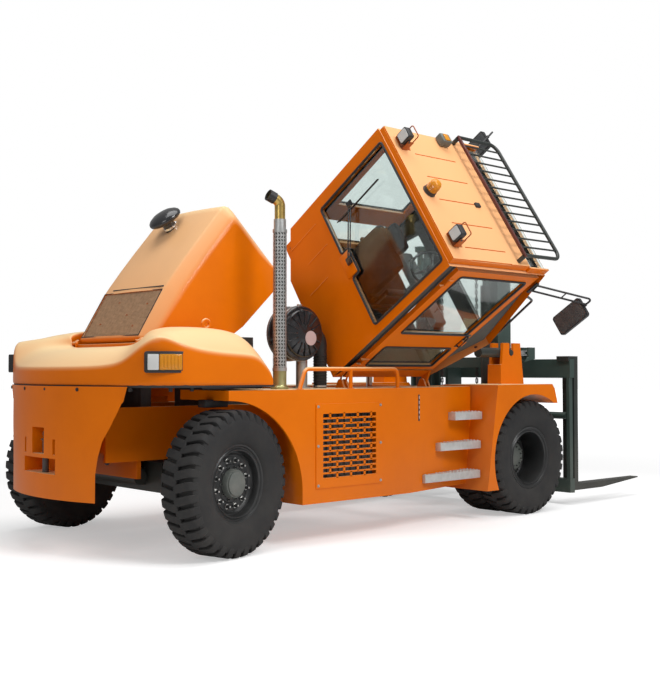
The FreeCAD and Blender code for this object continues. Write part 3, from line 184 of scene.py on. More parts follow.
def turned_part(bm, profile, centre, axis="Y", sides=64, material=0, closed=True):
    """A profile of (radius, distance along the axle) points, spun once round."""
    before = len(bm.faces)
    out = {"X": Z, "Y": Z, "Z": X}[axis]
    along = {"X": X, "Y": Y, "Z": Z}[axis]
    verts = [bm.verts.new(Vector(centre) + out * r + along * d) for r, d in profile]
    ends = list(zip(verts, verts[1:])) + ([(verts[-1], verts[0])] if closed else [])
    edges = [bm.edges.new(pair) for pair in ends]
    bmesh.ops.spin(bm, geom=verts + edges, cent=centre, axis=along, angle=math.tau, steps=sides, use_merge=True,
                   use_duplicate=False)
    painted(bm, before, material)


def bent_bar(bm, points, radius, bend, sides=12):
    """A round bar through the points, with each corner bent to one radius."""
    points = [Vector(p) for p in points]
    turn = (points[1] - points[0]).to_track_quat("Z", "Y").to_matrix().to_4x4()
    verts = bmesh.ops.create_circle(bm, cap_ends=False, segments=sides, radius=radius,
                                    matrix=Matrix.Translation(points[0]) @ turn)["verts"]
    first = ring = list({e for v in verts for e in v.link_edges})
    at = points[0]

    def straight_to(goal):
        nonlocal ring, at
        made = bmesh.ops.extrude_edge_only(bm, edges=ring)["geom"]
        bmesh.ops.translate(bm, vec=goal - at, verts=[v for v in made if isinstance(v, bmesh.types.BMVert)])
        ring, at = [e for e in made if isinstance(e, bmesh.types.BMEdge)
                    and all(v in made for v in e.verts)], goal

    for before_it, corner, after in zip(points, points[1:], points[2:]):
        u, w = (before_it - corner).normalized(), (after - corner).normalized()
        half = u.angle(w) / 2
        straight_to(corner + u * bend / math.tan(half))
        centre = corner + (u + w).normalized() * bend / math.sin(half)
        made = bmesh.ops.spin(bm, geom=ring + list({v for e in ring for v in e.verts}), cent=centre,
                              axis=u.cross(w).normalized() * -1, angle=math.pi - 2 * half, steps=8,
                              use_merge=False, use_duplicate=False)["geom_last"]
        ring, at = [e for e in made if isinstance(e, bmesh.types.BMEdge)], corner + w * bend / math.tan(half)
    straight_to(points[-1])
    for rim in (first, ring):
        bmesh.ops.edgeloop_fill(bm, edges=rim)


# %% [markdown]
# ## Putting a piece on the truck
#
# Every piece is finished the same way. Its doubled vertices are merged, its faces are
# turned outwards, its sharp edges may get a small bevel, and it is moved to its place.
# Edges that stay sharper than 35 degrees are drawn sharp, the rest smooth. Then it is
# told which body it rides on, and the drawn parts that it replaces are hidden.

# %% Finishing a piece
SHARP = math.radians(35)


def soften(bm, width, segments=2, angle=30):
    """Rounds every edge that is sharper than the angle."""
    edges = [e for e in bm.edges if len(e.link_faces) == 2 and e.calc_face_angle(0) > math.radians(angle)]
    bmesh.ops.bevel(bm, geom=edges, offset=width, offset_type="OFFSET", affect="EDGES", segments=segments,
                    profile=0.5, clamp_overlap=True, material=-1)


def on_truck(bm, name, body, finishes, place=TRUCK, replaces=(), edge=0, recalc=True):
    """Makes the mesh an object in its place, riding on its body."""
    bmesh.ops.remove_doubles(bm, verts=bm.verts, dist=0.01)
    if recalc:
        bmesh.ops.recalc_face_normals(bm, faces=bm.faces)
    if edge:
        soften(bm, edge)
    bmesh.ops.transform(bm, matrix=place, verts=bm.verts)
    if place.determinant() < 0:
        bmesh.ops.reverse_faces(bm, faces=bm.faces)
    for face in bm.faces:
        face.smooth = True
    for line in bm.edges:
        line.smooth = len(line.link_faces) == 2 and line.calc_face_angle(0) < SHARP
    mesh = bpy.data.meshes.new(name)
    bm.to_mesh(mesh)
    bm.free()
    piece = bpy.data.objects.new(name, mesh)
    bpy.context.scene.collection.objects.link(piece)
    for finish in finishes if isinstance(finishes, (list, tuple)) else [finishes]:
        mesh.materials.append(finish)
    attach(piece, body)
    if replaces:
        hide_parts(*replaces)
    print(name, len(mesh.polygons), "faces")
    return piece


def drawn_copy(node):
    """A drawn part's mesh in metres, merged, with each flat side one face again."""
    bm = bmesh.new()
    bm.from_mesh(frame["nodes"][node].data)
    bmesh.ops.remove_doubles(bm, verts=bm.verts, dist=0.00005)
    bmesh.ops.dissolve_limit(bm, angle_limit=math.radians(1), use_dissolve_boundaries=False, verts=bm.verts,
                             edges=bm.edges, delimit=set())
    return bm


def softened(node, width, finish, angle=30, segments=2):
    """A copy of a drawn part with its edges rounded over, in place of the part."""
    bm = drawn_copy(node)
    soften(bm, width / 1000, segments, angle)
    return on_truck(bm, node.replace("_", "-") + "-dressed", frame["nodes"][node]["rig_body"], finish,
                    place=Matrix(), replaces=(node,), recalc=False)


# %% [markdown]
# ## Finishes
#
# A real finish is never one flat colour. Sprayed enamel has a fine orange peel and a
# thin film of dust that lies on ledges and thickens towards the floor. Rubber is grey
# with dust in its grain, castings are rough, galvanised steel has cloudy patches. One
# recipe makes them all: a colour, a second tone stirred in by noise,
# a roughness that varies with them, a fine bump, dust by height and slope, and for the
# enamel a painted highlight that pales its upper faces as if lit strongly from above.

# %% The recipe for a finish
# the pale peach of the painted highlight on the enamel's upward faces
TOP_HIGHLIGHT = (1.0, 0.86, 0.50)


def finish(name, colour, other, rough, metal=0.0, coat=0.0, patch=3.0, grain=300.0, bump=0.15, depth=0.0004,
           dust=0.25, dust_colour=(0.45, 0.36, 0.27), spread=0.12, shine=0.5, top_highlight=0.0):
    material = bpy.data.materials.new(name)
    material.use_nodes = True
    tree = material.node_tree
    shader = tree.nodes["Principled BSDF"]
    shader.inputs["Metallic"].default_value = metal
    shader.inputs["Coat Weight"].default_value = coat
    shader.inputs["Coat Roughness"].default_value = 0.12
    shader.inputs["Specular IOR Level"].default_value = shine

    def node(kind, **settings):
        made = tree.nodes.new(kind)
        for key, value in settings.items():
            if key in made.inputs:
                made.inputs[key].default_value = value
            else:
                setattr(made, key, value)
        return made

    def wire(source, target):
        tree.links.new(source, target)

    where = node("ShaderNodeTexCoord").outputs["Object"]
    patches = node("ShaderNodeTexNoise", Scale=patch, Detail=5.0, Roughness=0.6)
    grains = node("ShaderNodeTexNoise", Scale=grain, Detail=3.0)
    for noise in (patches, grains):
        wire(where, noise.inputs["Vector"])
    stir = node("ShaderNodeMixRGB")
    stir.inputs["Color1"].default_value = (*colour, 1)
    stir.inputs["Color2"].default_value = (*other, 1)
    share = node("ShaderNodeMapRange", **{"From Min": 0.35, "From Max": 0.7})
    wire(patches.outputs["Fac"], share.inputs["Value"])
    wire(share.outputs["Result"], stir.inputs["Fac"])

    # dust lies on ledges and near the floor
    slope = node("ShaderNodeSeparateXYZ")
    wire(node("ShaderNodeNewGeometry").outputs["Normal"], slope.inputs["Vector"])
    height = node("ShaderNodeSeparateXYZ")
    wire(where, height.inputs["Vector"])
    low = node("ShaderNodeMapRange", **{"From Min": 0.9, "From Max": 0.1, "To Max": 0.8})
    wire(height.outputs["Z"], low.inputs["Value"])
    ledge = node("ShaderNodeMapRange", **{"From Min": 0.6, "From Max": 1.0, "To Max": 0.5})
    wire(slope.outputs["Z"], ledge.inputs["Value"])
    both = node("ShaderNodeMath", operation="MAXIMUM")
    wire(low.outputs["Result"], both.inputs[0])
    wire(ledge.outputs["Result"], both.inputs[1])
    broken = node("ShaderNodeMath", operation="MULTIPLY")
    wire(both.outputs["Value"], broken.inputs[0])
    wire(patches.outputs["Fac"], broken.inputs[1])
    amount = node("ShaderNodeMath", operation="MULTIPLY")
    amount.inputs[1].default_value = dust
    wire(broken.outputs["Value"], amount.inputs[0])
    dusty = node("ShaderNodeMixRGB")
    dusty.inputs["Color2"].default_value = (*dust_colour, 1)
    wire(amount.outputs["Value"], dusty.inputs["Fac"])
    # painted highlight: paint that faces up is paled towards a peach tone, as if lit strongly from above
    highlight_share = node("ShaderNodeMapRange", **{"From Min": 0.1, "From Max": 0.95, "To Max": top_highlight})
    wire(slope.outputs["Z"], highlight_share.inputs["Value"])
    highlighted = node("ShaderNodeMixRGB")
    highlighted.inputs["Color2"].default_value = (*TOP_HIGHLIGHT, 1)
    wire(highlight_share.outputs["Result"], highlighted.inputs["Fac"])
    wire(stir.outputs["Color"], highlighted.inputs["Color1"])
    wire(highlighted.outputs["Color"], dusty.inputs["Color1"])
    wire(dusty.outputs["Color"], shader.inputs["Base Color"])

    gloss = node("ShaderNodeMapRange", **{"To Min": max(rough - spread, 0.02), "To Max": min(rough + spread, 1.0)})
    wire(grains.outputs["Fac"], gloss.inputs["Value"])
    duller = node("ShaderNodeMath", operation="ADD", use_clamp=True)
    wire(gloss.outputs["Result"], duller.inputs[0])
    wire(amount.outputs["Value"], duller.inputs[1])
    wire(duller.outputs["Value"], shader.inputs["Roughness"])
    relief = node("ShaderNodeBump", Strength=bump, Distance=depth)
    wire(grains.outputs["Fac"], relief.inputs["Height"])
    wire(relief.outputs["Normal"], shader.inputs["Normal"])
    return material


# %% [markdown]
# The enamel is a warm orange. Everything that gets hot, rubs or is bought in has its
# own finish: black paint on the lifting gear, dark grey wheels, zinc on the stack.

# %% The truck's finishes
# the enamel's upward faces are paled by a painted highlight, set by the last argument
ORANGE = finish("orange_enamel", (0.78, 0.170, 0.000), (0.72, 0.152, 0.000), 0.40, coat=0.16, patch=2.0, grain=420,
                bump=0.05, dust=0.10, shine=0.1, top_highlight=0.75)
# a darker copy of the enamel, painted shade: it is the sheet under the hood screen, and the roof lamp brackets wear it
# too
ORANGE_SHADE = finish("orange_enamel_shade", (0.42, 0.085, 0.004), (0.34, 0.07, 0.004), 0.45, patch=5, dust=0.3)
BLACK_PAINT = finish("black_chassis_paint", (0.022, 0.026, 0.024), (0.032, 0.038, 0.034), 0.42, dust=0.18, bump=0.1)
GREEN_GREY = finish("green_grey_paint", (0.035, 0.060, 0.052), (0.05, 0.08, 0.07), 0.4, dust=0.2)
RUBBER = finish("tyre_rubber", (0.014, 0.014, 0.015), (0.024, 0.023, 0.022), 0.78, patch=6, grain=240, bump=0.3,
                dust=0.35, dust_colour=(0.13, 0.12, 0.11), spread=0.08)
RIM_GREY = finish("wheel_enamel", (0.013, 0.014, 0.015), (0.022, 0.023, 0.024), 0.36, dust=0.18,
                  dust_colour=(0.2, 0.19, 0.17))
HUB_GREY = finish("hub_casting", (0.10, 0.115, 0.105), (0.14, 0.15, 0.14), 0.5, patch=12, bump=0.3)
ZINC = finish("galvanised_steel", (0.56, 0.57, 0.56), (0.42, 0.43, 0.42), 0.42, metal=0.85, patch=14, grain=160,
              bump=0.15, dust=0.2)
BRIGHT = finish("polished_steel", (0.72, 0.72, 0.72), (0.6, 0.6, 0.6), 0.18, metal=1.0, bump=0.03, dust=0.1)
NUT_STEEL = finish("plated_nuts", (0.62, 0.62, 0.60), (0.45, 0.45, 0.44), 0.3, metal=0.9, patch=40, dust=0.15)
PLASTIC = finish("black_plastic", (0.018, 0.018, 0.019), (0.026, 0.026, 0.027), 0.48, grain=500, bump=0.25, dust=0.15)
GLOSS_BLACK = finish("gloss_black_moulding", (0.012, 0.012, 0.014), (0.02, 0.02, 0.022), 0.22, coat=0.4, grain=260,
                     bump=0.05, dust=0.1)
LABEL = finish("bare_label", (0.55, 0.40, 0.38), (0.48, 0.34, 0.33), 0.45, dust=0.1)
HOSE = finish("hose_rubber", (0.015, 0.015, 0.016), (0.024, 0.024, 0.024), 0.6, bump=0.2, dust=0.15)
IRON = finish("engine_iron", (0.045, 0.045, 0.047), (0.08, 0.075, 0.07), 0.6, patch=8, grain=90, bump=0.4, dust=0.3)
MESH_TAN = finish("screen_wire", (0.62, 0.40, 0.24), (0.42, 0.26, 0.15), 0.5, patch=30, dust=0.3)
CLOTH = finish("seat_cloth", (0.022, 0.022, 0.025), (0.04, 0.04, 0.042), 0.9, patch=25, grain=700, bump=0.5, dust=0.1)
CAB_GREY = finish("cab_trim", (0.30, 0.31, 0.31), (0.24, 0.25, 0.25), 0.6, grain=400, bump=0.25, dust=0.1)
CAB_DARK = finish("cab_lining", (0.060, 0.066, 0.062), (0.085, 0.09, 0.085), 0.7, grain=400, bump=0.25, dust=0.1)
GOLD = finish("gold_elbow", (0.62, 0.44, 0.14), (0.50, 0.34, 0.10), 0.3, metal=0.9, patch=20, dust=0.1)
OLIVE = finish("yellowed_zinc", (0.42, 0.42, 0.20), (0.36, 0.33, 0.16), 0.4, metal=0.7, patch=16, dust=0.2)
TREAD = finish("tread_plate", (0.62, 0.62, 0.61), (0.50, 0.50, 0.49), 0.45, metal=0.4, patch=18, bump=0.2, dust=0.3)
RED_PAINT = finish("dark_red_paint", (0.11, 0.02, 0.014), (0.08, 0.016, 0.012), 0.4, dust=0.15)


def clear(name, colour, rough=0.03, through=1.0):
    """Glass and lamp lenses: light passes through and they take a tint."""
    material = bpy.data.materials.new(name)
    material.use_nodes = True
    tree = material.node_tree
    shader = tree.nodes["Principled BSDF"]
    shader.inputs["Roughness"].default_value = rough
    shader.inputs["Transmission Weight"].default_value = through
    shader.inputs["IOR"].default_value = 1.45
    where = tree.nodes.new("ShaderNodeTexCoord")
    smear = tree.nodes.new("ShaderNodeTexNoise")
    smear.inputs["Scale"].default_value = 6
    smear.inputs["Detail"].default_value = 6
    tree.links.new(where.outputs["Object"], smear.inputs["Vector"])
    mix = tree.nodes.new("ShaderNodeMixRGB")
    mix.inputs["Color1"].default_value = (*colour, 1)
    mix.inputs["Color2"].default_value = (*[c * 0.9 for c in colour], 1)
    tree.links.new(smear.outputs["Fac"], mix.inputs["Fac"])
    tree.links.new(mix.outputs["Color"], shader.inputs["Base Color"])
    return material


GLASS = clear("cab_glass", (0.86, 0.93, 0.91))
AMBER = clear("amber_lens", (0.95, 0.38, 0.02), rough=0.15, through=0.35)
WHITE_LENS = clear("white_lens", (0.9, 0.9, 0.88), rough=0.12, through=0.3)
MIRROR = finish("mirror_glass", (0.11, 0.115, 0.12), (0.16, 0.165, 0.17), 0.28, metal=0.6, patch=9, bump=0.0, dust=0.2,
                spread=0.08)
SLOT_FINISH = {"orange_paint": ORANGE, "dark_paint": BLACK_PAINT, "tread_rubber": RUBBER, "rim_paint": RIM_GREY,
               "galvanised": ZINC, "cab_glazing": GLASS, "lamp_plastic": AMBER, "black_plastic": PLASTIC,
               "seat_cloth": CLOTH, "hose_rubber": HOSE, "engine_iron": IRON, "grille_mesh": MESH_TAN,
               "bright_rod": BRIGHT}
for part in frame["record"]["subparts"]:
    node = frame["nodes"][part["node"]]
    node.data.materials.clear()
    node.data.materials.append(SLOT_FINISH[part["material_slot"]])
print(len(SLOT_FINISH), "slots have a finish")

# %% [markdown]
# ## Camera, floor and light
#
# The truck is seen from behind its right side, low down and through a long lens, so
# its uprights stay parallel. The floor is pale and only keeps the shadow. A large soft
# lamp overhead and a second one at the truck's right side light it as in a studio, and
# a weak third one behind lifts the counterweight out of the shade.

# %% Camera
VIEW_FROM = Vector((-8.556, -7.669, 1.4207))
VIEW_DIR = Vector((0.6760, 0.7363, 0.0294)).normalized()
VIEW_RIGHT = Vector((0.7366, -0.6763, 0)).normalized()
camera_data = bpy.data.cameras.new("camera")
camera_data.sensor_width = 36
camera_data.lens = 56.28
camera = bpy.data.objects.new("camera", camera_data)
view_up = VIEW_RIGHT.cross(VIEW_DIR)
axes = Matrix((VIEW_RIGHT, view_up, -VIEW_DIR)).transposed().to_4x4()
camera.matrix_world = Matrix.Translation(ORIGIN + VIEW_FROM) @ axes
bpy.context.scene.collection.objects.link(camera)
bpy.context.scene.camera = camera
bpy.context.scene.view_settings.view_transform = "Standard"

# %% Floor, backdrop and lamps
floor_bm = bmesh.new()
bmesh.ops.create_grid(floor_bm, x_segments=1, y_segments=1, size=60)
floor_mesh = bpy.data.meshes.new("floor")
floor_bm.to_mesh(floor_mesh)
floor_bm.free()
floor = bpy.data.objects.new("floor", floor_mesh)
bpy.context.scene.collection.objects.link(floor)
floor_paint = bpy.data.materials.new("pale_floor")
floor_paint.use_nodes = True
tree = floor_paint.node_tree
tree.nodes.remove(tree.nodes["Principled BSDF"])
matt = tree.nodes.new("ShaderNodeBsdfDiffuse")
matt.inputs["Color"].default_value = (0.80, 0.80, 0.80, 1)
glow = tree.nodes.new("ShaderNodeEmission")
path = tree.nodes.new("ShaderNodeLightPath")
glow_share = tree.nodes.new("ShaderNodeMath")
glow_share.operation = "MULTIPLY"
where = tree.nodes.new("ShaderNodeTexCoord")
far = tree.nodes.new("ShaderNodeVectorMath")
far.operation = "LENGTH"
paler = tree.nodes.new("ShaderNodeMapRange")
for key, value in (("From Min", 6), ("From Max", 16), ("To Min", 0.42), ("To Max", 1.0)):
    paler.inputs[key].default_value = value
tree.links.new(where.outputs["Object"], far.inputs[0])
tree.links.new(far.outputs["Value"], paler.inputs["Value"])
tree.links.new(paler.outputs["Result"], glow_share.inputs[1])
both = tree.nodes.new("ShaderNodeAddShader")
tree.links.new(path.outputs["Is Camera Ray"], glow_share.inputs[0])
tree.links.new(glow_share.outputs["Value"], glow.inputs["Strength"])
tree.links.new(matt.outputs["BSDF"], both.inputs[0])
tree.links.new(glow.outputs["Emission"], both.inputs[1])
tree.links.new(both.outputs["Shader"], tree.nodes["Material Output"].inputs["Surface"])
floor_mesh.materials.append(floor_paint)

world = bpy.data.worlds.new("studio")
bpy.context.scene.world = world
world.use_nodes = True
tree = world.node_tree
sky = tree.nodes["Background"]
sky.inputs["Color"].default_value = (1.0, 1.0, 1.0, 1)
path = tree.nodes.new("ShaderNodeLightPath")
seen = tree.nodes.new("ShaderNodeMath")
seen.operation = "MAXIMUM"
level = tree.nodes.new("ShaderNodeMapRange")
level.inputs["To Min"].default_value = 0.32
level.inputs["To Max"].default_value = 1.0
tree.links.new(path.outputs["Is Camera Ray"], seen.inputs[0])
tree.links.new(path.outputs["Is Transmission Ray"], seen.inputs[1])
tree.links.new(seen.outputs["Value"], level.inputs["Value"])
tree.links.new(level.outputs["Result"], sky.inputs["Strength"])


def soft_lamp(name, at, towards, size, watts):
    lamp_data = bpy.data.lights.new(name, "AREA")
    lamp_data.shape = "RECTANGLE"
    lamp_data.size, lamp_data.size_y = size
    lamp_data.energy = watts
    lamp = bpy.data.objects.new(name, lamp_data)
    lamp.location = at
    lamp.rotation_euler = (Vector(towards) - Vector(at)).to_track_quat("-Z", "Y").to_euler()
    bpy.context.scene.collection.objects.link(lamp)


soft_lamp("overhead", (-1.0, -1.0, 9.0), (0, 0, 1.0), (9, 6), 500)
soft_lamp("side", (-0.6, -8.0, 7.6), (-1.5, 0, 1.2), (3.5, 3), 460)
soft_lamp("behind", (-9.0, -3.0, 4.5), (-4, 0, 1.0), (3, 3), 80)

# %% [markdown]
# ## Tyres
#
# A block-tread tyre has a smooth carcass with a bulged sidewall, and on it two rows
# of thick rubber blocks that stand half a pitch apart, so that the grooves run in a
# zigzag. The carcass is one profile spun about the axle. One block is made, its edges
# are rounded, and it is copied round the tyre.

# %% One tyre, drawn about the axle
# the arc of a block is a share of the pitch, and its outer part leans back
TYRE_R, LUGS, LUG_SHARE, LUG_LEAN, LUG_EDGE = 560, 36, 0.66, math.radians(3.2), 5
# the steered tyres are wider than the driven ones, whose carcass is drawn here
REAR_WIDE = 340 / 304
CARCASS = [(288, -96), (300, -116), (330, -136), (385, -149), (440, -152), (488, -148), (520, -132), (528, -90),
           (529, 0), (528, 90), (520, 132), (488, 148), (440, 152), (385, 149), (330, 136), (300, 116), (288, 96)]
LUG_SECTION = [(515, -14), (558, -14), (TYRE_R, 30), (TYRE_R, 106), (552, 128), (534, 141), (486, 151), (478, 146)]


def tyre(bm, y, first=0.0, wide=1.0):
    """A tyre about the axle at y; first turns its tread, wide stretches it."""
    turned_part(bm, CARCASS, (0, y, 0), sides=78)
    pitch = math.tau / LUGS
    for side in (1, -1):
        verts = [bm.verts.new((0, y + side * across, r)) for r, across in LUG_SECTION]
        face = bm.faces.new(verts)
        arc = pitch * LUG_SHARE
        begin = first - arc / 2 + (pitch / 2 if side < 0 else 0)
        bmesh.ops.rotate(bm, cent=(0, y, 0), matrix=Matrix.Rotation(begin, 3, "Y"), verts=verts)
        spun = bmesh.ops.spin(bm, geom=[face] + verts + list(face.edges), cent=(0, y, 0), axis=Y, angle=arc, steps=3,
                              use_merge=False, use_duplicate=False)["geom_last"]
        ends = [v for v in spun if isinstance(v, bmesh.types.BMVert)]
        lug_verts = set(verts) | {v for e in ends for f in e.link_faces for v in f.verts}
        lug_verts |= {v for w in list(lug_verts) for f in w.link_faces for v in f.verts}
        outer = [v for v in lug_verts if abs(v.co.y - y) > 60]
        bmesh.ops.rotate(bm, cent=(0, y, 0), matrix=Matrix.Rotation(LUG_LEAN, 3, "Y"), verts=outer)
        faces = {f for v in lug_verts for f in v.link_faces}
        bmesh.ops.recalc_face_normals(bm, faces=list(faces))
        edges = [e for e in {e for f in faces for e in f.edges} if e.calc_face_angle(0) > math.radians(25)]
        made = bmesh.ops.bevel(bm, geom=edges, offset=LUG_EDGE, offset_type="OFFSET", affect="EDGES", segments=1,
                               profile=0.5, clamp_overlap=True, material=-1)
        lug = set(made["faces"])
        while True:
            grown = lug | {g for f in lug for v in f.verts for g in v.link_faces}
            if len(grown) == len(lug):
                break
            lug = grown
        lug = list(lug)
        for k in range(1, LUGS):
            copy = bmesh.ops.duplicate(bm, geom=lug)["geom"]
            bmesh.ops.rotate(bm, cent=(0, y, 0), matrix=Matrix.Rotation(k * pitch, 3, "Y"),
                             verts=[v for v in copy if isinstance(v, bmesh.types.BMVert)])
    if wide != 1.0:
        bmesh.ops.scale(bm, vec=(1, wide, 1), space=Matrix.Translation((0, -y, 0)), verts=bm.verts)


def wheel_place(side, rear):
    """Where a wheel drawn about its axle goes, on one side of the truck."""
    if rear:
        return on_side(STEERED[side] @ Matrix.Translation((-WHEELBASE, 0, AXLE_Z)), side)
    return on_side(TRUCK @ Matrix.Translation((0, 0, AXLE_Z)), side)


# %% [markdown]
# ## Wheels
#
# The steered wheels show their dished disc: a flange with two beads, a flat ring with
# twelve plated nuts and the hub with its cast cap. The driven wheels stand in pairs on
# one hub, so from outside one looks deep into the outer rim at the hub's end.

# %% Rims, discs, nuts and hubs
REAR_Y, OUTER_Y, INNER_Y = 1148, 1143, 815
BARREL = [(250, -125), (303, -125), (305, -112), (296, -101), (272, -93), (262, -80), (262, 78), (270, 90), (290, 95),
          (303, 104), (305, 120), (298, 126), (287, 121), (281, 110), (272, 106), (264, 110), (259, 119), (252, 116),
          (247, 102), (243, 60), (243, -110)]


def hex_nuts(bm, y, circle, count, size, material=1, length=26):
    """A ring of nuts on washers, each with the end of its stud."""
    for k in range(count):
        angle = math.tau * (k + 0.5) / count
        at = Vector((circle * math.sin(angle), 0, circle * math.cos(angle)))
        rod(bm, at + Y * y, at + Y * (y + 6), size * 1.35, sides=18, material=material)
        rod(bm, at + Y * (y + 6), at + Y * (y + length - 5), size, sides=6, material=material)
        rod(bm, at + Y * (y + length - 5), at + Y * (y + length), size, size * 0.8, sides=6, material=material)
        rod(bm, at + Y * (y + length), at + Y * (y + length + 12), size * 0.5, sides=12, material=material)


def at_y(profile, y):
    return [(r, a + y) for r, a in profile]


for side, word in SIDES:
    bm = bmesh.new()
    tyre(bm, REAR_Y, wide=REAR_WIDE)
    on_truck(bm, f"rear-{word}-tyre-tread", f"rear_{word}_wheel", RUBBER,
             wheel_place(side, True), [f"rear_{word}_tyre"])
    bm = bmesh.new()
    tyre(bm, OUTER_Y)
    tyre(bm, INNER_Y, 0.07)
    on_truck(bm, f"front-{word}-twin-treads", f"front_{word}_wheels", RUBBER,
             wheel_place(side, False), [f"front_{word}_tyres"])

    bm = bmesh.new()
    turned_part(bm, at_y(BARREL, REAR_Y), (0, 0, 0))
    turned_part(bm, at_y([(246, 34), (246, 66), (232, 66), (222, 50), (212, 44), (206, 44), (204, 50), (150, 50),
                          (142, 58), (118, 60), (60, 60), (60, 34)], REAR_Y), (0, 0, 0))
    turned_part(bm, at_y([(60, -60), (112, -60), (112, 40), (110, 98), (104, 108), (60, 108)], REAR_Y), (0, 0, 0),
                material=2)
    turned_part(bm, at_y([(0, 122), (86, 122), (93, 118), (96, 108), (96, 100), (0, 100)], REAR_Y), (0, 0, 0),
                material=2, closed=False)
    hex_nuts(bm, REAR_Y + 50, 178, 12, 15)
    hex_nuts(bm, REAR_Y + 60, 126, 10, 7, material=2, length=14)
    on_truck(bm, f"rear-{word}-wheel-disc", f"rear_{word}_wheel", [RIM_GREY, NUT_STEEL, HUB_GREY],
             wheel_place(side, True), [f"rear_{word}_rim"])

    bm = bmesh.new()
    middle = (OUTER_Y + INNER_Y) / 2
    turned_part(bm, at_y(BARREL, OUTER_Y), (0, 0, 0))
    turned_part(bm, [(r, INNER_Y - a) for r, a in BARREL], (0, 0, 0))
    turned_part(bm, [(250, INNER_Y + 110), (262, INNER_Y + 110), (262, OUTER_Y - 110), (250, OUTER_Y - 110)], (0, 0, 0))
    turned_part(bm, [(252, middle - 25), (252, middle + 25), (236, middle + 25), (226, middle + 12), (160, middle + 12),
                     (150, middle + 25), (60, middle + 25), (60, middle - 25)], (0, 0, 0))
    turned_part(bm, [(60, middle - 120), (148, middle - 120), (150, middle + 20), (146, middle + 80),
                     (138, middle + 90), (60, middle + 90)], (0, 0, 0), material=2)
    turned_part(bm, [(0, middle + 105), (118, middle + 105), (126, middle + 101), (130, middle + 88), (0, middle + 88)],
                (0, 0, 0), material=2, closed=False)
    hex_nuts(bm, middle + 12, 194, 12, 15)
    hex_nuts(bm, middle + 100, 96, 12, 8, material=2, length=12)
    on_truck(bm, f"front-{word}-twin-rims", f"front_{word}_wheels", [RIM_GREY, NUT_STEEL, HUB_GREY],
             wheel_place(side, False), [f"front_{word}_rims"])

# %% [markdown]
# ## The counterweight's cover
#
# The cover is a pressed shell that runs round the back of the engine bay like a U. Its
# section changes all the way: behind the hood it is a low dish, over each wheel it
# swells to a shoulder whose outer side falls away. So it is built like a ship, from
# ribs. Each rib is the same chain of points, set at its own place round the U, and the
# chains are bridged. A subdivision surface then draws the skin smoothly over them.

# %% Ribs of the cover
SEAM_Z = 1305
# outer point x, y, then inner point x, y, then the height of the crest and of the top
RIBS = [(-3236, 1238, -3165, 602, 1325, 1335), (-3262, 1242, -3172, 602, 1400, 1520),
        (-3310, 1242, -3195, 602, 1462, 1640), (-3400, 1242, -3290, 602, 1535, 1730),
        (-3480, 1242, -3480, 602, 1552, 1762), (-3680, 1242, -3680, 602, 1560, 1768),
        (-3860, 1242, -3860, 602, 1575, 1764), (-3980, 1242, -3930, 602, 1592, 1748),
        (-4079, 1238, -3980, 600, 1616, 1736), (-4152, 1204, -4004, 590, 1644, 1718),
        (-4215, 1162, -4012, 575, 1674, 1704), (-4274, 1106, -4016, 560, 1668, 1690),
        (-4337, 1020, -4018, 540, 1606, 1660), (-4378, 925, -4020, 520, 1530, 1632),
        (-4420, 815, -4020, 480, 1474, 1618), (-4511, 600, -4020, 380, 1460, 1612),
        (-4587, 300, -4020, 200, 1457, 1610), (-4611, 0, -4020, 0, 1456, 1610)]


def rib(bm, outer_x, outer_y, inner_x, inner_y, crest, top):
    """The skin's section: up the outer side, over the crest, along the top and down."""
    start, end = Vector((outer_x, outer_y, 0)), Vector((inner_x, inner_y, 0))
    rise = top - crest
    low = SEAM_Z - 5
    chain = [(0, low), (0, low + 5), (0, low + 0.6 * (crest - low)), (0.004, crest - 34), (0.018, crest - 10),
             (0.05, crest + 2), (0.12, crest + 0.22 * rise), (0.26, crest + 0.55 * rise), (0.46, crest + 0.88 * rise),
             (0.72, top - 0.02 * rise), (0.95, top), (0.985, top - 6), (1, top - 22), (1, low + 5), (1, low)]
    verts = [bm.verts.new(start.lerp(end, share) + Vector((0, 0, max(height, low + 0.02 * k))))
             for k, (share, height) in enumerate(chain)]
    return [bm.edges.new(pair) for pair in zip(verts, verts[1:] + verts[:1])]


def seal_rib(bm, outer_x, outer_y, inner_x, inner_y, _crest, _top):
    """The section of the dark seal that shows in the seam under the skin."""
    start, end = Vector((outer_x, outer_y, 0)), Vector((inner_x, inner_y, 0))
    verts = [bm.verts.new(start.lerp(end, share) + Vector((0, 0, height)))
             for share, height in ((0.02, SEAM_Z - 14), (0.02, SEAM_Z + 12), (0.9, SEAM_Z + 12), (0.9, SEAM_Z - 14))]
    return [bm.edges.new(pair) for pair in zip(verts, verts[1:] + verts[:1])]


def round_the_back(bm, section):
    """Bridges the section from rib to rib, from one side of the U to the other."""
    half = [(x, -y, u, -v, crest, top) for x, y, u, v, crest, top in RIBS]
    loops = [section(bm, *row) for row in half + RIBS[-2::-1]]
    for one, two in zip(loops, loops[1:]):
        bmesh.ops.bridge_loops(bm, edges=one + two)
    for end in (loops[0], loops[-1]):
        bmesh.ops.edgeloop_fill(bm, edges=end)


bm = bmesh.new()
round_the_back(bm, seal_rib)
on_truck(bm, "cover-seal", "chassis", PLASTIC)

bm = bmesh.new()
round_the_back(bm, rib)
for s in (1, -1):
    turned_part(bm, [(22, -14), (40, -14), (46, -8), (46, 8), (40, 14), (22, 14)], (-3560, s * 760, 1790), sides=32)
cover = on_truck(bm, "counterweight-cover-shell", "chassis", ORANGE, replaces=["counterweight_cover"])
skin = cover.modifiers.new("skin", "SUBSURF")
skin.levels = skin.render_levels = 2

# %% [markdown]
# The lower casting keeps its drawn shape with rounder edges. Under the seam it has
# five socket screws, and on each corner of the cover sits a lamp in a rubber bezel.

# %% Casting, screws, hinge stands, tail lamps and tow pin
softened("counterweight", 9, ORANGE, angle=40, segments=3)

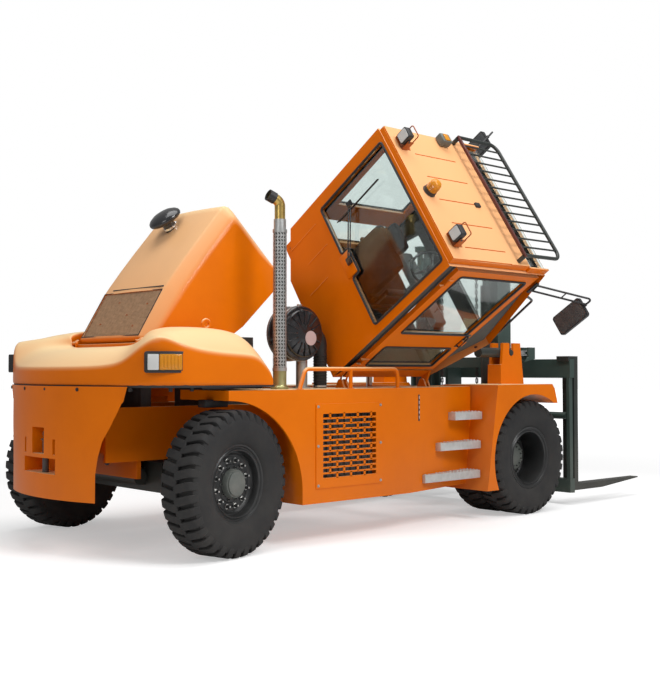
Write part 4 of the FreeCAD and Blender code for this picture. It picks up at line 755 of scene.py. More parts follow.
bm = bmesh.new()
SCREWS = ((-4602, 259, 14), (-4612, -100, 20), (-4553, -492, 14), (-4377, -951, 14), (-4377, 951, 14))
for x, y, size in SCREWS:
    # each one points outwards: more and more sideways along the back, less round the corner
    out = Vector((-1, 0.62 * y / 1000 if abs(y) < 870 else 0.4 * y / 951, 0)).normalized()
    at = Vector((x, y, SEAM_Z - 30))
    rod(bm, at - out * 12, at + out * 5, size, sides=20)
    rod(bm, at + out * 4, at + out * 7, size * 0.6, sides=6)
on_truck(bm, "cover-screws", "chassis", PLASTIC)

bm = bmesh.new()
HINGE_Y = 505
HINGE_X, _, HINGE_Z = HOOD_HINGE
for middle in (HINGE_Y, -HINGE_Y):
    for y in (middle - 34, middle + 22):
        block(bm, -4032, -4008, y, y + 12, 1585, 1662, edge=3)
    rod(bm, (HINGE_X, middle - 40, HINGE_Z), (HINGE_X, middle + 40, HINGE_Z), 7)
block(bm, -4014, -3994, -478, 478, 1600, 1640, edge=4)
on_truck(bm, "hood-hinge-stands", "chassis", ORANGE)

CORNER_RADIUS, LAMP_TURN = 490, 27.8
LAMP_MIDDLE = Vector((-4218, 1166, 1480))


def follow_corner(bm):
    """Bends a flat lamp round the cover's corner."""
    for x in range(-125, 126, 25):
        bmesh.ops.bisect_plane(bm, geom=list(bm.verts) + list(bm.edges) + list(bm.faces), plane_co=(x, 0, 0),
                               plane_no=X)
    for vert in bm.verts:
        vert.co.y -= vert.co.x ** 2 / (2 * CORNER_RADIUS)


for s, word in SIDES:
    lamp_at = on_side(TRUCK, s) @ Matrix.Translation(LAMP_MIDDLE) @ Matrix.Rotation(math.radians(LAMP_TURN), 4, "Z")
    bm = bmesh.new()
    plate(bm, [(-146, -79), (146, -79), (146, 79), (-146, 79)], "side", -40, 14, radii=18)
    block(bm, -130, 130, 12, 17, -63, 63, edge=2)
    soften(bm, 4)
    follow_corner(bm)
    on_truck(bm, f"tail-lamp-bezel-{word}", "chassis", PLASTIC, lamp_at)
    bm = bmesh.new()
    block(bm, -126, -46, 14, 25, -58, 58, edge=6, material=1)
    block(bm, -42, 126, 14, 26, -58, 58, edge=6)
    for k in range(6):
        block(bm, -34 + 26 * k, -18 + 26 * k, 25, 29, -50, 50, edge=2)
    follow_corner(bm)
    on_truck(bm, f"tail-lamp-lens-{word}", "chassis", [AMBER, WHITE_LENS], lamp_at,
             replaces=["tail_lamps"])

bm = bmesh.new()
PIN_X = -4550
rod(bm, (PIN_X, 0, 565), (PIN_X, 0, 880), 25, sides=32)
rod(bm, (PIN_X, 0, 872), (PIN_X, 0, 884), 36, sides=32)
bent_bar(bm, [(PIN_X, -20, 882), (PIN_X, -40, 925), (PIN_X, 0, 958), (PIN_X, 40, 925), (PIN_X, 20, 882)], 8, 14)
on_truck(bm, "tow-pin-ringed", "chassis", IRON, replaces=["tow_pin"])

# %% [markdown]
# ## The hood
#
# The hood is one pressed skin. Seen from the side it is a closed outline; across its
# width that outline stays the same over the flat top and then shrinks quickly over a
# broad chamfer, so the skin is a chain of lines between its middle and its edge line.
# The screen at the back is woven from real wires over a dark sheet, which is painted shade standing for the dim bay
# below.

# %% Hood skin
HOOD_LINE = [(-3985, 1624), (-3985, 1656), (-3978, 1664), (-3962, 1672), (-3560, 1829), (-3480, 1853), (-3290, 1902),
             (-3082, 1950), (-2850, 1999), (-2700, 2030), (-2650, 2038), (-2612, 2030), (-2588, 2004), (-2576, 1960),
             (-2562, 1860), (-2520, 1540), (-2478, 1210)]
HOOD_EDGE = [(-3925, 1582), (-3920, 1584), (-3912, 1587), (-3900, 1592), (-3512, 1692), (-3441, 1713), (-3255, 1760),
             (-3050, 1807), (-2830, 1853), (-2715, 1877), (-2700, 1879), (-2690, 1876), (-2682, 1868), (-2677, 1850),
             (-2667, 1790), (-2632, 1525), (-2540, 1206)]
HOOD_SILL = [(-3154, 1151), (-3340, 1167), (-3420, 1222), (-3880, 1548)]
CHAMFER, SCREEN_Y = 146, 440
# the screen lies between these two points of the middle line
SCREEN_LOW, SCREEN_TOP = HOOD_LINE[3], HOOD_LINE[4]
# how far the line is pushed in at each distance from the middle
STEPS_OUT = [(0, -7), (250, -4), (SCREEN_Y, 0), (454, 3), (470, 13), (528, 74), (544, 94), (554, 116), (560, CHAMFER)]


def pushed_in(depth):
    """The middle line moved towards the edge line, which it reaches at the chamfer's depth."""
    return [Vector(one).lerp(Vector(two), depth / CHAMFER) for one, two in zip(HOOD_LINE, HOOD_EDGE)]


bm = bmesh.new()
chains = []
levels = [(-y, depth) for y, depth in STEPS_OUT[:0:-1]] + STEPS_OUT
for y, depth in levels:
    chains.append([bm.verts.new((x, y, z)) for x, z in pushed_in(depth)])
for one, two in zip(chains, chains[1:]):
    for a, b, c, d in zip(one, one[1:], two[1:], two):
        bm.faces.new((a, b, c, d))
for verts in (chains[0], chains[-1]):
    y = verts[0].co.y
    bm.faces.new(verts + [bm.verts.new((x, y, z)) for x, z in HOOD_SILL])
middles = {f: f.calc_center_median() for f in bm.faces}
screen = [f for f, at in middles.items() if abs(at.y) < SCREEN_Y and SCREEN_LOW[0] < at.x < SCREEN_TOP[0]]
bmesh.ops.delete(bm, geom=screen, context="FACES_ONLY")
bmesh.ops.recalc_face_normals(bm, faces=bm.faces)
if sum(f.normal.z for f in bm.faces) < 0:
    bmesh.ops.reverse_faces(bm, faces=bm.faces)
hood = on_truck(bm, "hood-skin", "hood", ORANGE, HOOD, replaces=["hood_shell"], recalc=False)
wall = hood.modifiers.new("wall", "SOLIDIFY")
wall.thickness, wall.offset = 0.006, -1

bm = bmesh.new()
for y in (-HINGE_Y, HINGE_Y):
    block(bm, -4012, -3980, y - 20, y + 20, 1642, 1658, edge=3)
    rod(bm, (HINGE_X, y - 20, HINGE_Z), (HINGE_X, y + 20, HINGE_Z), 13)
    for x in (-4000, -3990):
        rod(bm, (x, y, 1657), (x, y, 1662), 5, sides=6)
on_truck(bm, "hood-hinge-leaves", "hood", ORANGE, HOOD)

# %% [markdown]
# The screen lies in its own slope: one way runs up the slope, the other across the
# hood. A thin dark joint runs round it, and the air cap stands on a neck in a clamp.

# %% Screen, joints and the air cap
run, rise = (top - low for low, top in zip(SCREEN_LOW, SCREEN_TOP))
SCREEN_LONG = math.hypot(run, rise)
SCREEN = HOOD @ Matrix.Translation((SCREEN_LOW[0], 0, SCREEN_LOW[1])) @ Matrix.Rotation(-math.atan2(rise, run), 4, "Y")
WIRE_PITCH, WIRE_R = 13, 2.3
bm = bmesh.new()
for k in range(1, int(SCREEN_LONG / WIRE_PITCH)):
    rod(bm, (k * WIRE_PITCH, -SCREEN_Y, -3), (k * WIRE_PITCH, SCREEN_Y, -3), WIRE_R, sides=6)
for k in range(int(-SCREEN_Y / WIRE_PITCH) + 1, int(SCREEN_Y / WIRE_PITCH)):
    rod(bm, (0, k * WIRE_PITCH, -5), (SCREEN_LONG, k * WIRE_PITCH, -5), WIRE_R, sides=6)
# the dark sheet under the wires is painted shade, standing for the dim engine bay below the screen
block(bm, -4, SCREEN_LONG + 4, -SCREEN_Y - 4, SCREEN_Y + 4, -26, -22, material=1)
for x, y in ((90, -280), (200, -100), (330, 120), (120, 250), (300, -330)):
    rod(bm, (x, y, -6), (x, y, 2), 9, sides=12, material=1)
on_truck(bm, "hood-screen", "hood", [MESH_TAN, ORANGE_SHADE], SCREEN, replaces=["hood_grille"])

bm = bmesh.new()
JOINT_Y = SCREEN_Y + 8
for x0, x1, y0, y1 in ((-2, SCREEN_LONG + 2, -JOINT_Y, -SCREEN_Y), (-2, SCREEN_LONG + 2, SCREEN_Y, JOINT_Y),
                       (-8, 0, -JOINT_Y, JOINT_Y), (SCREEN_LONG, SCREEN_LONG + 7, -JOINT_Y, JOINT_Y)):
    block(bm, x0, x1, y0, y1, -4, 2.5)
on_truck(bm, "hood-joints", "hood", PLASTIC, SCREEN)
bm = bmesh.new()
block(bm, -3532, -3523, -SCREEN_Y, 330, 1830, 1847, edge=1)
on_truck(bm, "hood-groove", "hood", PLASTIC, HOOD)

CAP_AT = (-2830, 120, 2001)
bm = bmesh.new()
turned_part(bm, [(0, -42), (55, -42), (55, 58), (62, 60), (62, 76), (128, 84), (146, 96), (151, 110), (147, 128),
                 (128, 146), (92, 163), (45, 173), (0, 176)], CAP_AT, axis="Z", closed=False)
on_truck(bm, "air-cap", "hood", GLOSS_BLACK, HOOD, replaces=["air_precleaner"])
bm = bmesh.new()
turned_part(bm, [(55, 14), (61, 14), (61, 32), (55, 32)], CAP_AT, axis="Z", sides=48)
block(bm, -2766, -2752, 112, 128, 2012, 2036, edge=2)
on_truck(bm, "air-cap-clamp", "hood", BRIGHT, HOOD)

# %% [markdown]
# ## Side boxes, steps and rails
#
# The bolted panel in each side box is pierced like a brick wall. Cutting so many slots
# is slow, so the panel is built from what stands between them: long bars between the
# rows, and short bars between the slots of a row, half a slot further on in the next.

# %% Vent panels
WALL_Y = 1250
VENT = (-2820, -2060, 460, 1146)
MARGIN, ROWS, BRICK, GAP_X, GAP_Z = 75, 12, 158, 20, 15


def vent_bars(bm, y):
    """A frame and the bars of the brick pattern, 8 mm thick, standing at y."""
    x0, x1, z0, z1 = VENT
    left, right, low, high = x0 + MARGIN, x1 - MARGIN, z0 + MARGIN, z1 - MARGIN
    pitch = (high - low) / ROWS
    for x_a, x_b, z_a, z_b in ((x0, left, z0, z1), (right, x1, z0, z1), (left, right, z0, low),
                               (left, right, high, z1)):
        block(bm, x_a, x_b, y, y + 8, z_a, z_b)
    for row in range(ROWS + 1):
        at = low + row * pitch
        block(bm, left, right, y, y + 8, at - (GAP_Z / 2 if row else 0), at + (GAP_Z / 2 if row < ROWS else 0))
    for row in range(ROWS):
        start = left - (BRICK / 2 if row % 2 else 0)
        for k in range(1, int((right - start) / BRICK) + 1):
            at = start + k * BRICK
            if left < at < right:
                block(bm, at - GAP_X / 2, at + GAP_X / 2, y, y + 8, low + row * pitch, low + (row + 1) * pitch)


for s, word in SIDES:
    side = on_side(TRUCK, s)
    bm = bmesh.new()
    vent_bars(bm, WALL_Y)
    on_truck(bm, f"vent-panel-{word}", "chassis", ORANGE, side, replaces=["vent_panels"])
    bm = bmesh.new()
    x0, x1, z0, z1 = VENT
    for x in (x0 + 22, x1 - 22):
        for z in (z0 + 22, (z0 + z1) / 2, z1 - 22):
            rod(bm, (x, WALL_Y + 7, z), (x, WALL_Y + 10, z), 12, sides=20)
            rod(bm, (x, WALL_Y + 9, z), (x, WALL_Y + 17, z), 8, sides=6)
    on_truck(bm, f"vent-bolts-{word}", "chassis", ZINC, side)
    bm = bmesh.new()
    block(bm, x0 + 60, x1 - 60, 1186, 1196, z0 + 60, z1 - 60)
    for k in range(9):
        block(bm, x0 + 90 + 68 * k, x0 + 118 + 68 * k, 1196, 1210, z0 + 80, z1 - 80, edge=4)
    on_truck(bm, f"cooler-behind-vent-{word}", "chassis", IRON, side)

# %% [markdown]
# Ahead of the vent the box's wall slants inwards, and the treads stand on that slope.
# They are folded steel with rows of raised teeth. The rail is bent tube.

# %% Step treads and handrails
STEP_CORNER, BOX_FRONT, STEP_END = -1710, -620, 1030
SLANT = math.atan2(WALL_Y - STEP_END, BOX_FRONT - STEP_CORNER)
DECK_TOP, RAIL_Y, RAIL_TOP, RAIL_R = 1266, 1190, 1430, 17


def wall_y(x):
    """How far out the slanted wall stands at x."""
    return WALL_Y + (x - STEP_CORNER) / (BOX_FRONT - STEP_CORNER) * (STEP_END - WALL_Y)


for s, word in SIDES:
    side = on_side(TRUCK, s)
    bm = bmesh.new()
    fold = Matrix.Translation((-1555, wall_y(-1555), 1085)) @ Matrix.Rotation(-SLANT, 4, "Z")
    block(bm, -12, 12, -2, 3, -118, 118, edge=2, place=fold)
    for k in range(5):
        block(bm, -5, 5, 2, 6, -96 + 44 * k, -70 + 44 * k, edge=2, material=1, place=fold)
    block(bm, -3780, -3560, 960, 1060, 1134, 1194, edge=8)
    for x in (-4150, -3960):
        rod(bm, (x, 1140, 1302), (x, 1140, 1262), 15, sides=6)
        rod(bm, (x, 1140, 1300), (x, 1140, 1288), 26, sides=20)
    on_truck(bm, f"small-black-fittings-{word}", "chassis", [PLASTIC, TREAD], side)
    bm = bmesh.new()
    for x0, x1, out_y, z0 in ((-1500, -735, 1245, 410), (-1270, -700, 1225, 683), (-1040, -655, 1205, 956)):
        outline = [(x0, wall_y(x0)), (x1, wall_y(x1)), (x1, out_y), (x0, out_y)]
        plate(bm, outline, "plan", z0, z0 + 72)
        count = int((x1 - x0) / 46)
        for k in range(count):
            x = x0 + (k + 0.5) * (x1 - x0) / count
            reach = out_y - wall_y(x)
            for j in range(int(reach / 40)):
                rod(bm, (x, out_y - 22 - 40 * j, z0 + 70), (x, out_y - 22 - 40 * j, z0 + 79), 13, 8, sides=12)
    on_truck(bm, f"step-treads-{word}", "chassis", TREAD, side, replaces=["step_treads"], edge=3)
    bm = bmesh.new()
    bent_bar(bm, [(-2940, RAIL_Y, DECK_TOP - 1), (-2880, RAIL_Y, RAIL_TOP), (-1800, RAIL_Y, RAIL_TOP),
                  (-1800, RAIL_Y, DECK_TOP - 1)], RAIL_R, 55, sides=16)
    rod(bm, (-2370, RAIL_Y, DECK_TOP - 1), (-2370, RAIL_Y, RAIL_TOP), RAIL_R, sides=16)
    for x in (-2938, -2370, -1800):
        turned_part(bm, [(RAIL_R, 0), (32, 0), (32, 5), (RAIL_R, 5)], (x, RAIL_Y, DECK_TOP), axis="Z", sides=24)
    on_truck(bm, f"handrail-{word}", "chassis", ORANGE, side, replaces=["handrails"])

# %% [markdown]
# ## Stack, air cleaner and hose
#
# The stack's guard is a pierced steel tube round a dark pipe. Its holes are real: the
# tube is drawn up ring by ring, each ring turned by half a face against the last, every
# face is inset, and its middle is deleted.

# %% Exhaust stack
STACK = Vector((-2950, -950, 0))
GUARD_R, GUARD_LOW, GUARD_HIGH, HOLES_ROUND, HOLE_ROWS, HOLE_RIM = 57, 1420, 2560, 14, 40, 5.2
bm = bmesh.new()
turned_part(bm, [(0, 1266), (74, 1266), (74, 1280), (60, 1290), (56, 1300), (56, 1418), (0, 1418)], STACK, axis="Z",
            material=1, closed=False)
turned_part(bm, [(0, 1410), (46, 1410), (46, 2640), (0, 2640)], STACK, axis="Z", material=2, closed=False)
ring = [bm.verts.new(STACK + Vector((GUARD_R * math.cos(a), GUARD_R * math.sin(a), GUARD_LOW)))
        for a in (math.tau * k / HOLES_ROUND for k in range(HOLES_ROUND))]
edges = [bm.edges.new(pair) for pair in zip(ring, ring[1:] + ring[:1])]
guard = []
for row in range(HOLE_ROWS):
    made = bmesh.ops.extrude_edge_only(bm, edges=edges)["geom"]
    moved = [v for v in made if isinstance(v, bmesh.types.BMVert)]
    bmesh.ops.translate(bm, verts=moved, vec=Z * (GUARD_HIGH - GUARD_LOW) / HOLE_ROWS)
    half_face = math.pi / HOLES_ROUND * (-1 if row % 2 else 1)
    bmesh.ops.rotate(bm, cent=STACK, matrix=Matrix.Rotation(half_face, 3, "Z"), verts=moved)
    guard += [g for g in made if isinstance(g, bmesh.types.BMFace)]
    edges = [e for e in made if isinstance(e, bmesh.types.BMEdge) and all(v in moved for v in e.verts)]
bmesh.ops.recalc_face_normals(bm, faces=guard)
bmesh.ops.inset_individual(bm, faces=guard, thickness=HOLE_RIM, depth=0, use_even_offset=True)
bmesh.ops.delete(bm, geom=guard, context="FACES_ONLY")
for low in (GUARD_LOW - 6, GUARD_HIGH - 2):
    turned_part(bm, [(50, low), (60, low), (60, low + 26), (50, low + 26)], STACK, axis="Z")
turned_part(bm, [(0, 2580), (51, 2580), (51, 2668), (0, 2668)], STACK, axis="Z", closed=False)
on_truck(bm, "stack-guard", "chassis", [ZINC, OLIVE, IRON], replaces=["exhaust_stack"], recalc=False)
bm = bmesh.new()
x, y = STACK.x, STACK.y
bent_bar(bm, [(x, y, 2655), (x, y, 2815), (x - 92, y + 18, 2856)], 44, 62, sides=32)
on_truck(bm, "stack-elbow", "chassis", GOLD)
bm = bmesh.new()
end, out = Vector((x - 78, y + 15, 2850)), Vector((-105, 20, 45)).normalized()
turn = out.to_track_quat("Z", "Y").to_matrix().to_4x4()
turned_part(bm, [(0, 4), (38, 4), (38, 34), (49, 34), (49, -30), (0, -30)], (0, 0, 0), axis="Z", closed=False)
bmesh.ops.transform(bm, matrix=Matrix.Translation(end) @ turn, verts=bm.verts)
on_truck(bm, "stack-outlet", "chassis", PLASTIC)

# %% [markdown]
# The air cleaner is a drum on its side, with a ribbed cap towards the outside, two
# straps and a bare label. Its hose turns down into the deck.

# %% Air cleaner and hose
CLEANER, DRUM_R = Vector((-2600, -720, 1735)), 235
bm = bmesh.new()
turned_part(bm, [(0, -152), (60, -152), (80, -146), (150, -146), (160, -140), (196, -140), (204, -132), (204, -116),
                 (228, -112), (DRUM_R, -104), (DRUM_R, -58), (229, -52), (DRUM_R, -46), (DRUM_R, 40), (229, 46),
                 (DRUM_R, 52), (DRUM_R, 86), (226, 95), (0, 95)], CLEANER, closed=False)
for k in range(16):
    turn = Matrix.Translation(CLEANER) @ Matrix.Rotation(math.tau * k / 16, 4, "Y")
    block(bm, 84, 198, -154, -138, -5, 5, edge=2, place=turn)
on_truck(bm, "air-cleaner-drum", "chassis", GLOSS_BLACK, replaces=["air_cleaner"])
bm = bmesh.new()
for y in (-80, 62):
    turned_part(bm, [(DRUM_R, y), (DRUM_R + 4, y), (DRUM_R + 4, y + 18), (DRUM_R, y + 18)], CLEANER, sides=48)
block(bm, -18, 18, -86, -58, 232, 252, edge=3, place=Matrix.Translation(CLEANER))
rod(bm, CLEANER + Vector((90, 0, -470)), CLEANER + Vector((90, 0, -190)), 50)
rod(bm, CLEANER + Vector((90, 0, -470)), CLEANER + Vector((90, 0, -458)), 78)
on_truck(bm, "air-cleaner-post", "chassis", ZINC)
bm = bmesh.new()
rod(bm, CLEANER + Vector((60, -148, -40)), CLEANER + Vector((60, -156, -40)), 62, sides=40)
on_truck(bm, "air-cleaner-label", "chassis", LABEL)

bm = bmesh.new()
x, y, z = CLEANER
down_x, HOSE_R = x + 305, 58
bent_bar(bm, [(x + 120, y, z + 60), (down_x, y, z - 25), (down_x, y, DECK_TOP)], HOSE_R, 95, sides=32)
for k in range(11):
    turned_part(bm, [(56, 0), (63, 4), (63, 10), (56, 14)], (down_x, y, 1300 + 24 * k), axis="Z", sides=32)
turned_part(bm, [(HOSE_R, 0), (66, 0), (66, 16), (HOSE_R, 16)], (down_x, y, DECK_TOP + 6), axis="Z", sides=32,
            material=1)
on_truck(bm, "intake-hose-ribbed", "chassis", [HOSE, BRIGHT], replaces=["intake_hose"])

# %% [markdown]
# ## The cab
#
# The cab is drawn lowered and swung over with everything in it. Its rear wall has
# three pressed lines, a window in a rubber seal, and under the window the cover of the
# wiper's motor, which the seal steps around.

# %% Shell, seals and wiper
CAB_W, CAB_REAR, ROOF_Z = 735, -2190, 3030
CAB_MIDDLE, CAB_WALL, FLOOR_TOP = Vector((-1500, 0, 2200)), 47, 1375
bm = drawn_copy("cab_frame")
soften(bm, 0.007, 3, 35)
bm.normal_update()
to_cab = CAB.inverted()
# faces that look into the cab from behind its walls carry the dark lining
for face in bm.faces:
    centre = to_cab @ face.calc_center_median()
    inwards = (to_cab.to_3x3() @ face.normal).dot(CAB_MIDDLE - centre) > 0
    if inwards and abs(centre.y) < CAB_W - CAB_WALL and centre.x > CAB_REAR + CAB_WALL + 1 and centre.z > FLOOR_TOP:
        face.material_index = 1
on_truck(bm, "cab-shell", "cab", [ORANGE, CAB_DARK], Matrix(), ["cab_frame"], recalc=False)

bm = bmesh.new()
for y, low, high in ((548, 1485, 1890), (300, 1612, 1915), (45, 1480, 1760)):
    rod(bm, (CAB_REAR + 1, y, low), (CAB_REAR + 1, y, high), 5, sides=8)
block(bm, CAB_REAR - 14, CAB_REAR + 40, -138, 92, 1975, 2104, edge=8)
block(bm, CAB_REAR - 6, CAB_REAR + 2, -700, 700, 2962, 2968, edge=2)
on_truck(bm, "cab-pressed-lines", "cab", ORANGE, CAB)


def seal(bm, plane, level, corners, thick=11, bend=26):
    """A rubber seal round a window, from the middle of its last side back to it."""
    a, b, c = PLANES[plane]
    path = []
    for across, up in corners:
        co = [0, 0, 0]
        co[a], co[b], co[c] = across, up, level
        path.append(Vector(co))
    start = (path[0] + path[-1]) / 2
    bent_bar(bm, [start] + path + [start + (path[-1] - path[0]).normalized()], thick, bend)


REAR_PANE = [(613, 2923), (-648, 2923), (-648, 2017), (-152, 2017), (-152, 2112), (104, 2112), (104, 2017), (613, 2017)]
DOOR_PANES = ([(-1938, 2838), (-1072, 2838), (-1072, 2032), (-1938, 2032)],
              [(-1948, 1818), (-1072, 1818), (-1072, 1522), (-1948, 1522)])
DOORWAY = [(-2043, 2918), (-982, 2918), (-982, 1459), (-2043, 1459)]
bm = bmesh.new()
seal(bm, "front", CAB_REAR - 1, REAR_PANE)
for corners in DOOR_PANES:
    seal(bm, "side", -CAB_W - 1, corners)
for s in (1, -1):
    seal(bm, "side", s * (CAB_W - 53), DOORWAY, 13, 20)
    # the strip down each front pillar, from the roof to the sill of the front pane
    bent_bar(bm, [(-900, s * 640, 2920), (-900, s * 700, 2920), (-587, s * 700, 1905), (-587, s * 640, 1905)], 13, 24)
on_truck(bm, "cab-window-seals", "cab", PLASTIC, CAB)

bm = bmesh.new()
WIPER_X = CAB_REAR - 26
rod(bm, (CAB_REAR - 8, -15, 2080), (WIPER_X - 8, -15, 2080), 15)
rod(bm, (WIPER_X, -28, 2085), (WIPER_X, 388, 2362), 6, sides=10)
rod(bm, (WIPER_X, -6, 2068), (WIPER_X, 412, 2348), 6, sides=10)
block(bm, WIPER_X - 10, WIPER_X + 8, -50, 20, 2050, 2110, edge=6)
block(bm, WIPER_X - 8, WIPER_X + 10, 372, 428, 2320, 2384, edge=5)
rod(bm, (WIPER_X + 8, 365, 2140), (WIPER_X + 8, 352, 2741), 6, 4, sides=10)
block(bm, WIPER_X + 4, WIPER_X + 20, 354, 364, 2160, 2730, edge=2)
on_truck(bm, "rear-wiper", "cab", GLOSS_BLACK, CAB)

bm = bmesh.new()
bent_bar(bm, [(-790, -700, 2620), (-640, -700, 2560), (-575, -700, 1905), (-700, -700, 1700)], 11, 40, sides=14)
for x, z in ((-745, 2602), (-640, 1800)):
    rod(bm, (x, -700, z), (x - 40, -700, z - 8), 9, sides=12)
on_truck(bm, "front-grab-bar", "cab", GLOSS_BLACK, CAB)

# %% [markdown]
# The roof is pressed with five shallow grooves from back to front. On its rear edge
# stand two square work lamps in bent brackets and the amber beacon between them.

# %% Roof, lamps and beacon
ROOF_LAMPS, BEACON = (520, -520), (-2050, 0, 0)
bm = bmesh.new()
block(bm, CAB_REAR + 2, -1192, -708, 708, 2962, 3012)
for x0, x1 in ((CAB_REAR + 4, -1965), (-1440, -1194)):
    block(bm, x0, x1, -706, 706, 3012, 3024)
edges = [-706, -574, -319, -68, 181, 431, 706]
for low, high in zip(edges, edges[1:]):
    block(bm, -1965, -1440, low + 5, high - 5, 3012, 3024)
for s in (1, -1):
    block(bm, -1192, -930, s * 712 - 12, s * 712 + 6, 2962, 3020, edge=3)
on_truck(bm, "roof-panel", "cab", ORANGE, CAB, ["cab_roof"])

bm = bmesh.new()
for y in ROOF_LAMPS:
    block(bm, -2120, -2000, y - 60, y + 60, ROOF_Z - 10, ROOF_Z - 2, edge=2)
    for s in (1, -1):
        block(bm, -2118, -2050, y + s * 66 - 3, y + s * 66 + 3, ROOF_Z - 4, 3120, edge=1.5)
    block(bm, -2060, -2052, y - 66, y + 66, ROOF_Z - 4, 3058, edge=2)
    bent_bar(bm, [(-2058, y - 62, 3045), (-2058, y - 62, 3196), (-2058, y + 62, 3196), (-2058, y + 62, 3045)], 5, 18)
# the brackets take the darker copy of the enamel, which is painted shade
on_truck(bm, "roof-lamp-brackets", "cab", ORANGE_SHADE, CAB)
bm = bmesh.new()
for y in ROOF_LAMPS:
    plate(bm, [(y - 54, 3058), (y + 54, 3058), (y + 54, 3174), (y - 54, 3174)], "front", -2142, -2082, radii=16)
    rod(bm, (-2084, y, 3116), (-2056, y, 3116), 34, 24)
    for s in (1, -1):
        rod(bm, (-2105, y + s * 50, 3112), (-2105, y + s * 74, 3112), 11, sides=6)
soften(bm, 3)
on_truck(bm, "roof-lamp-shells", "cab", PLASTIC, CAB)
bm = bmesh.new()
for y in ROOF_LAMPS:
    plate(bm, [(y - 44, 3068), (y + 44, 3068), (y + 44, 3164), (y - 44, 3164)], "front", -2147, -2140, radii=12)
turned_part(bm, [(0, 3052), (50, 3052), (50, 3112), (47, 3130), (38, 3143), (22, 3150), (0, 3151)], BEACON, axis="Z",
            material=1, closed=False)
for z in range(3058, 3108, 7):
    turned_part(bm, [(49, z), (52, z + 2), (49, z + 4)], BEACON, axis="Z", sides=40, material=1)
on_truck(bm, "roof-lamp-lenses", "cab", [WHITE_LENS, AMBER], CAB, ["roof_lamps"])
bm = bmesh.new()
turned_part(bm, [(0, 3018), (62, 3018), (62, 3030), (57, 3036), (57, 3054), (0, 3054)], BEACON, axis="Z",
            closed=False)
block(bm, -1512, -1452, -98, -52, 3020, 3042, edge=4)
on_truck(bm, "beacon-foot", "cab", PLASTIC, CAB)
bm = bmesh.new()
block(bm, -1560, -1440, 592, 690, 3030, 3098, edge=8)
block(bm, -1530, -1470, 604, 678, 3096, 3106, edge=3, material=1)
rod(bm, (-1440, 640, 3062), (-1405, 640, 3062), 9, sides=12, material=1)
on_truck(bm, "front-work-lamp", "cab", [HUB_GREY, AMBER], CAB)

# %% [markdown]
# The guard over the roof glass is a bent tube with a row of bars from back to front.

# %% Roof guard and mirrors
bm = bmesh.new()
GUARD_W, GUARD_X0, GUARD_X1, GUARD_Z = 665, -1330, -820, 3110
bent_bar(bm, [(GUARD_X0, -GUARD_W, GUARD_Z), (GUARD_X1, -GUARD_W, GUARD_Z), (GUARD_X1, GUARD_W, GUARD_Z),
              (GUARD_X0, GUARD_W, GUARD_Z)], 16, 90, sides=20)
for k in range(-6, 7):
    y = k * GUARD_W / 7
    rod(bm, (GUARD_X0, y, GUARD_Z), (GUARD_X1, y, GUARD_Z), 8, sides=14)
    for end in (GUARD_X0 + 12, GUARD_X1 - 18):
        rod(bm, (end, y, GUARD_Z), (end + 7, y, GUARD_Z), 11, sides=12)
for s in (1, -1):
    block(bm, GUARD_X0 - 12, GUARD_X0 + 12, s * GUARD_W - 18, s * GUARD_W + 16, 3012, GUARD_Z, edge=3)
    block(bm, GUARD_X0 - 40, GUARD_X0 + 40, s * GUARD_W - 26, s * GUARD_W + 24, 3012, 3022, edge=3)
    rod(bm, (GUARD_X0 + 28, s * GUARD_W, 3020), (GUARD_X0 + 28, s * GUARD_W, 3030), 8, sides=6)
block(bm, GUARD_X0 - 12, GUARD_X0 + 12, -GUARD_W - 16, GUARD_W + 16, GUARD_Z - 16, GUARD_Z + 12, edge=4, material=1)
on_truck(bm, "roof-guard-tubes", "cab", [BLACK_PAINT, RED_PAINT], CAB, ["roof_guard"])

for s, word in SIDES:
    side = on_side(CAB, s)
    root, tip = CAB_W - 6, CAB_W + 270
    arm = [Vector(at) for at in ((-900, root, 2812), (-500, tip, 3010), (-500, tip, 2935), (-885, root, 2735))]
    bm = bmesh.new()
    bent_bar(bm, arm, 9, 22)
    for share in (0.04, 0.55):
        rod(bm, arm[3].lerp(arm[2], share), arm[0].lerp(arm[1], share), 6, sides=10)
    block(bm, -912, -872, root - 8, root + 8, 2705, 2840, edge=4)
    rod(bm, (-500, tip, 2890), (-500, tip, 2945), 9)
    rod(bm, (-500, tip, 2918), (-500, tip, 2934), 15, sides=16)
    plate(bm, [(tip - 98, 2577), (tip + 98, 2577), (tip + 98, 2912), (tip - 98, 2912)], "front", -518, -484, radii=26)
    block(bm, -484, -474, tip - 70, tip + 70, 2612, 2880, edge=5)
    soften(bm, 3, angle=40)
    on_truck(bm, f"mirror-{word}", "cab", PLASTIC, side, ["mirrors"])
    bm = bmesh.new()
    plate(bm, [(tip - 88, 2587), (tip + 88, 2587), (tip + 88, 2902), (tip - 88, 2902)], "front", -521, -517, radii=20)
    on_truck(bm, f"mirror-glass-{word}", "cab", MIRROR, side)

# %% [markdown]
# Each door is a flat leaf with a softened edge, rubber seals round its panes, and a
# black grip over a lock. The left door rides on a body of its own and swings. The right
# one rides on the cab, which lies over on that side, so its seals are the cab's.

# %% Doors
for s, word, body in ((1, "left", "left_door"), (-1, "right", "cab")):
    softened(f"{word}_door", 5, ORANGE, angle=40, segments=3)
    side = on_side(CAB, s)
    bm = bmesh.new()
    y = CAB_W
    bent_bar(bm, [(-1042, y - 4, 2028), (-1042, y + 26, 2014), (-1042, y + 26, 1876), (-1042, y - 4, 1862)], 8, 12)
    block(bm, -1066, -1006, y - 2, y + 8, 1846, 2044, edge=5)
    rod(bm, (-1030, y + 6, 1866), (-1030, y + 13, 1866), 10, sides=20)
    if s > 0:
        for corners in DOOR_PANES:
            seal(bm, "side", y + 1, corners)
    on_truck(bm, f"door-fittings-{word}", body, GLOSS_BLACK, side)
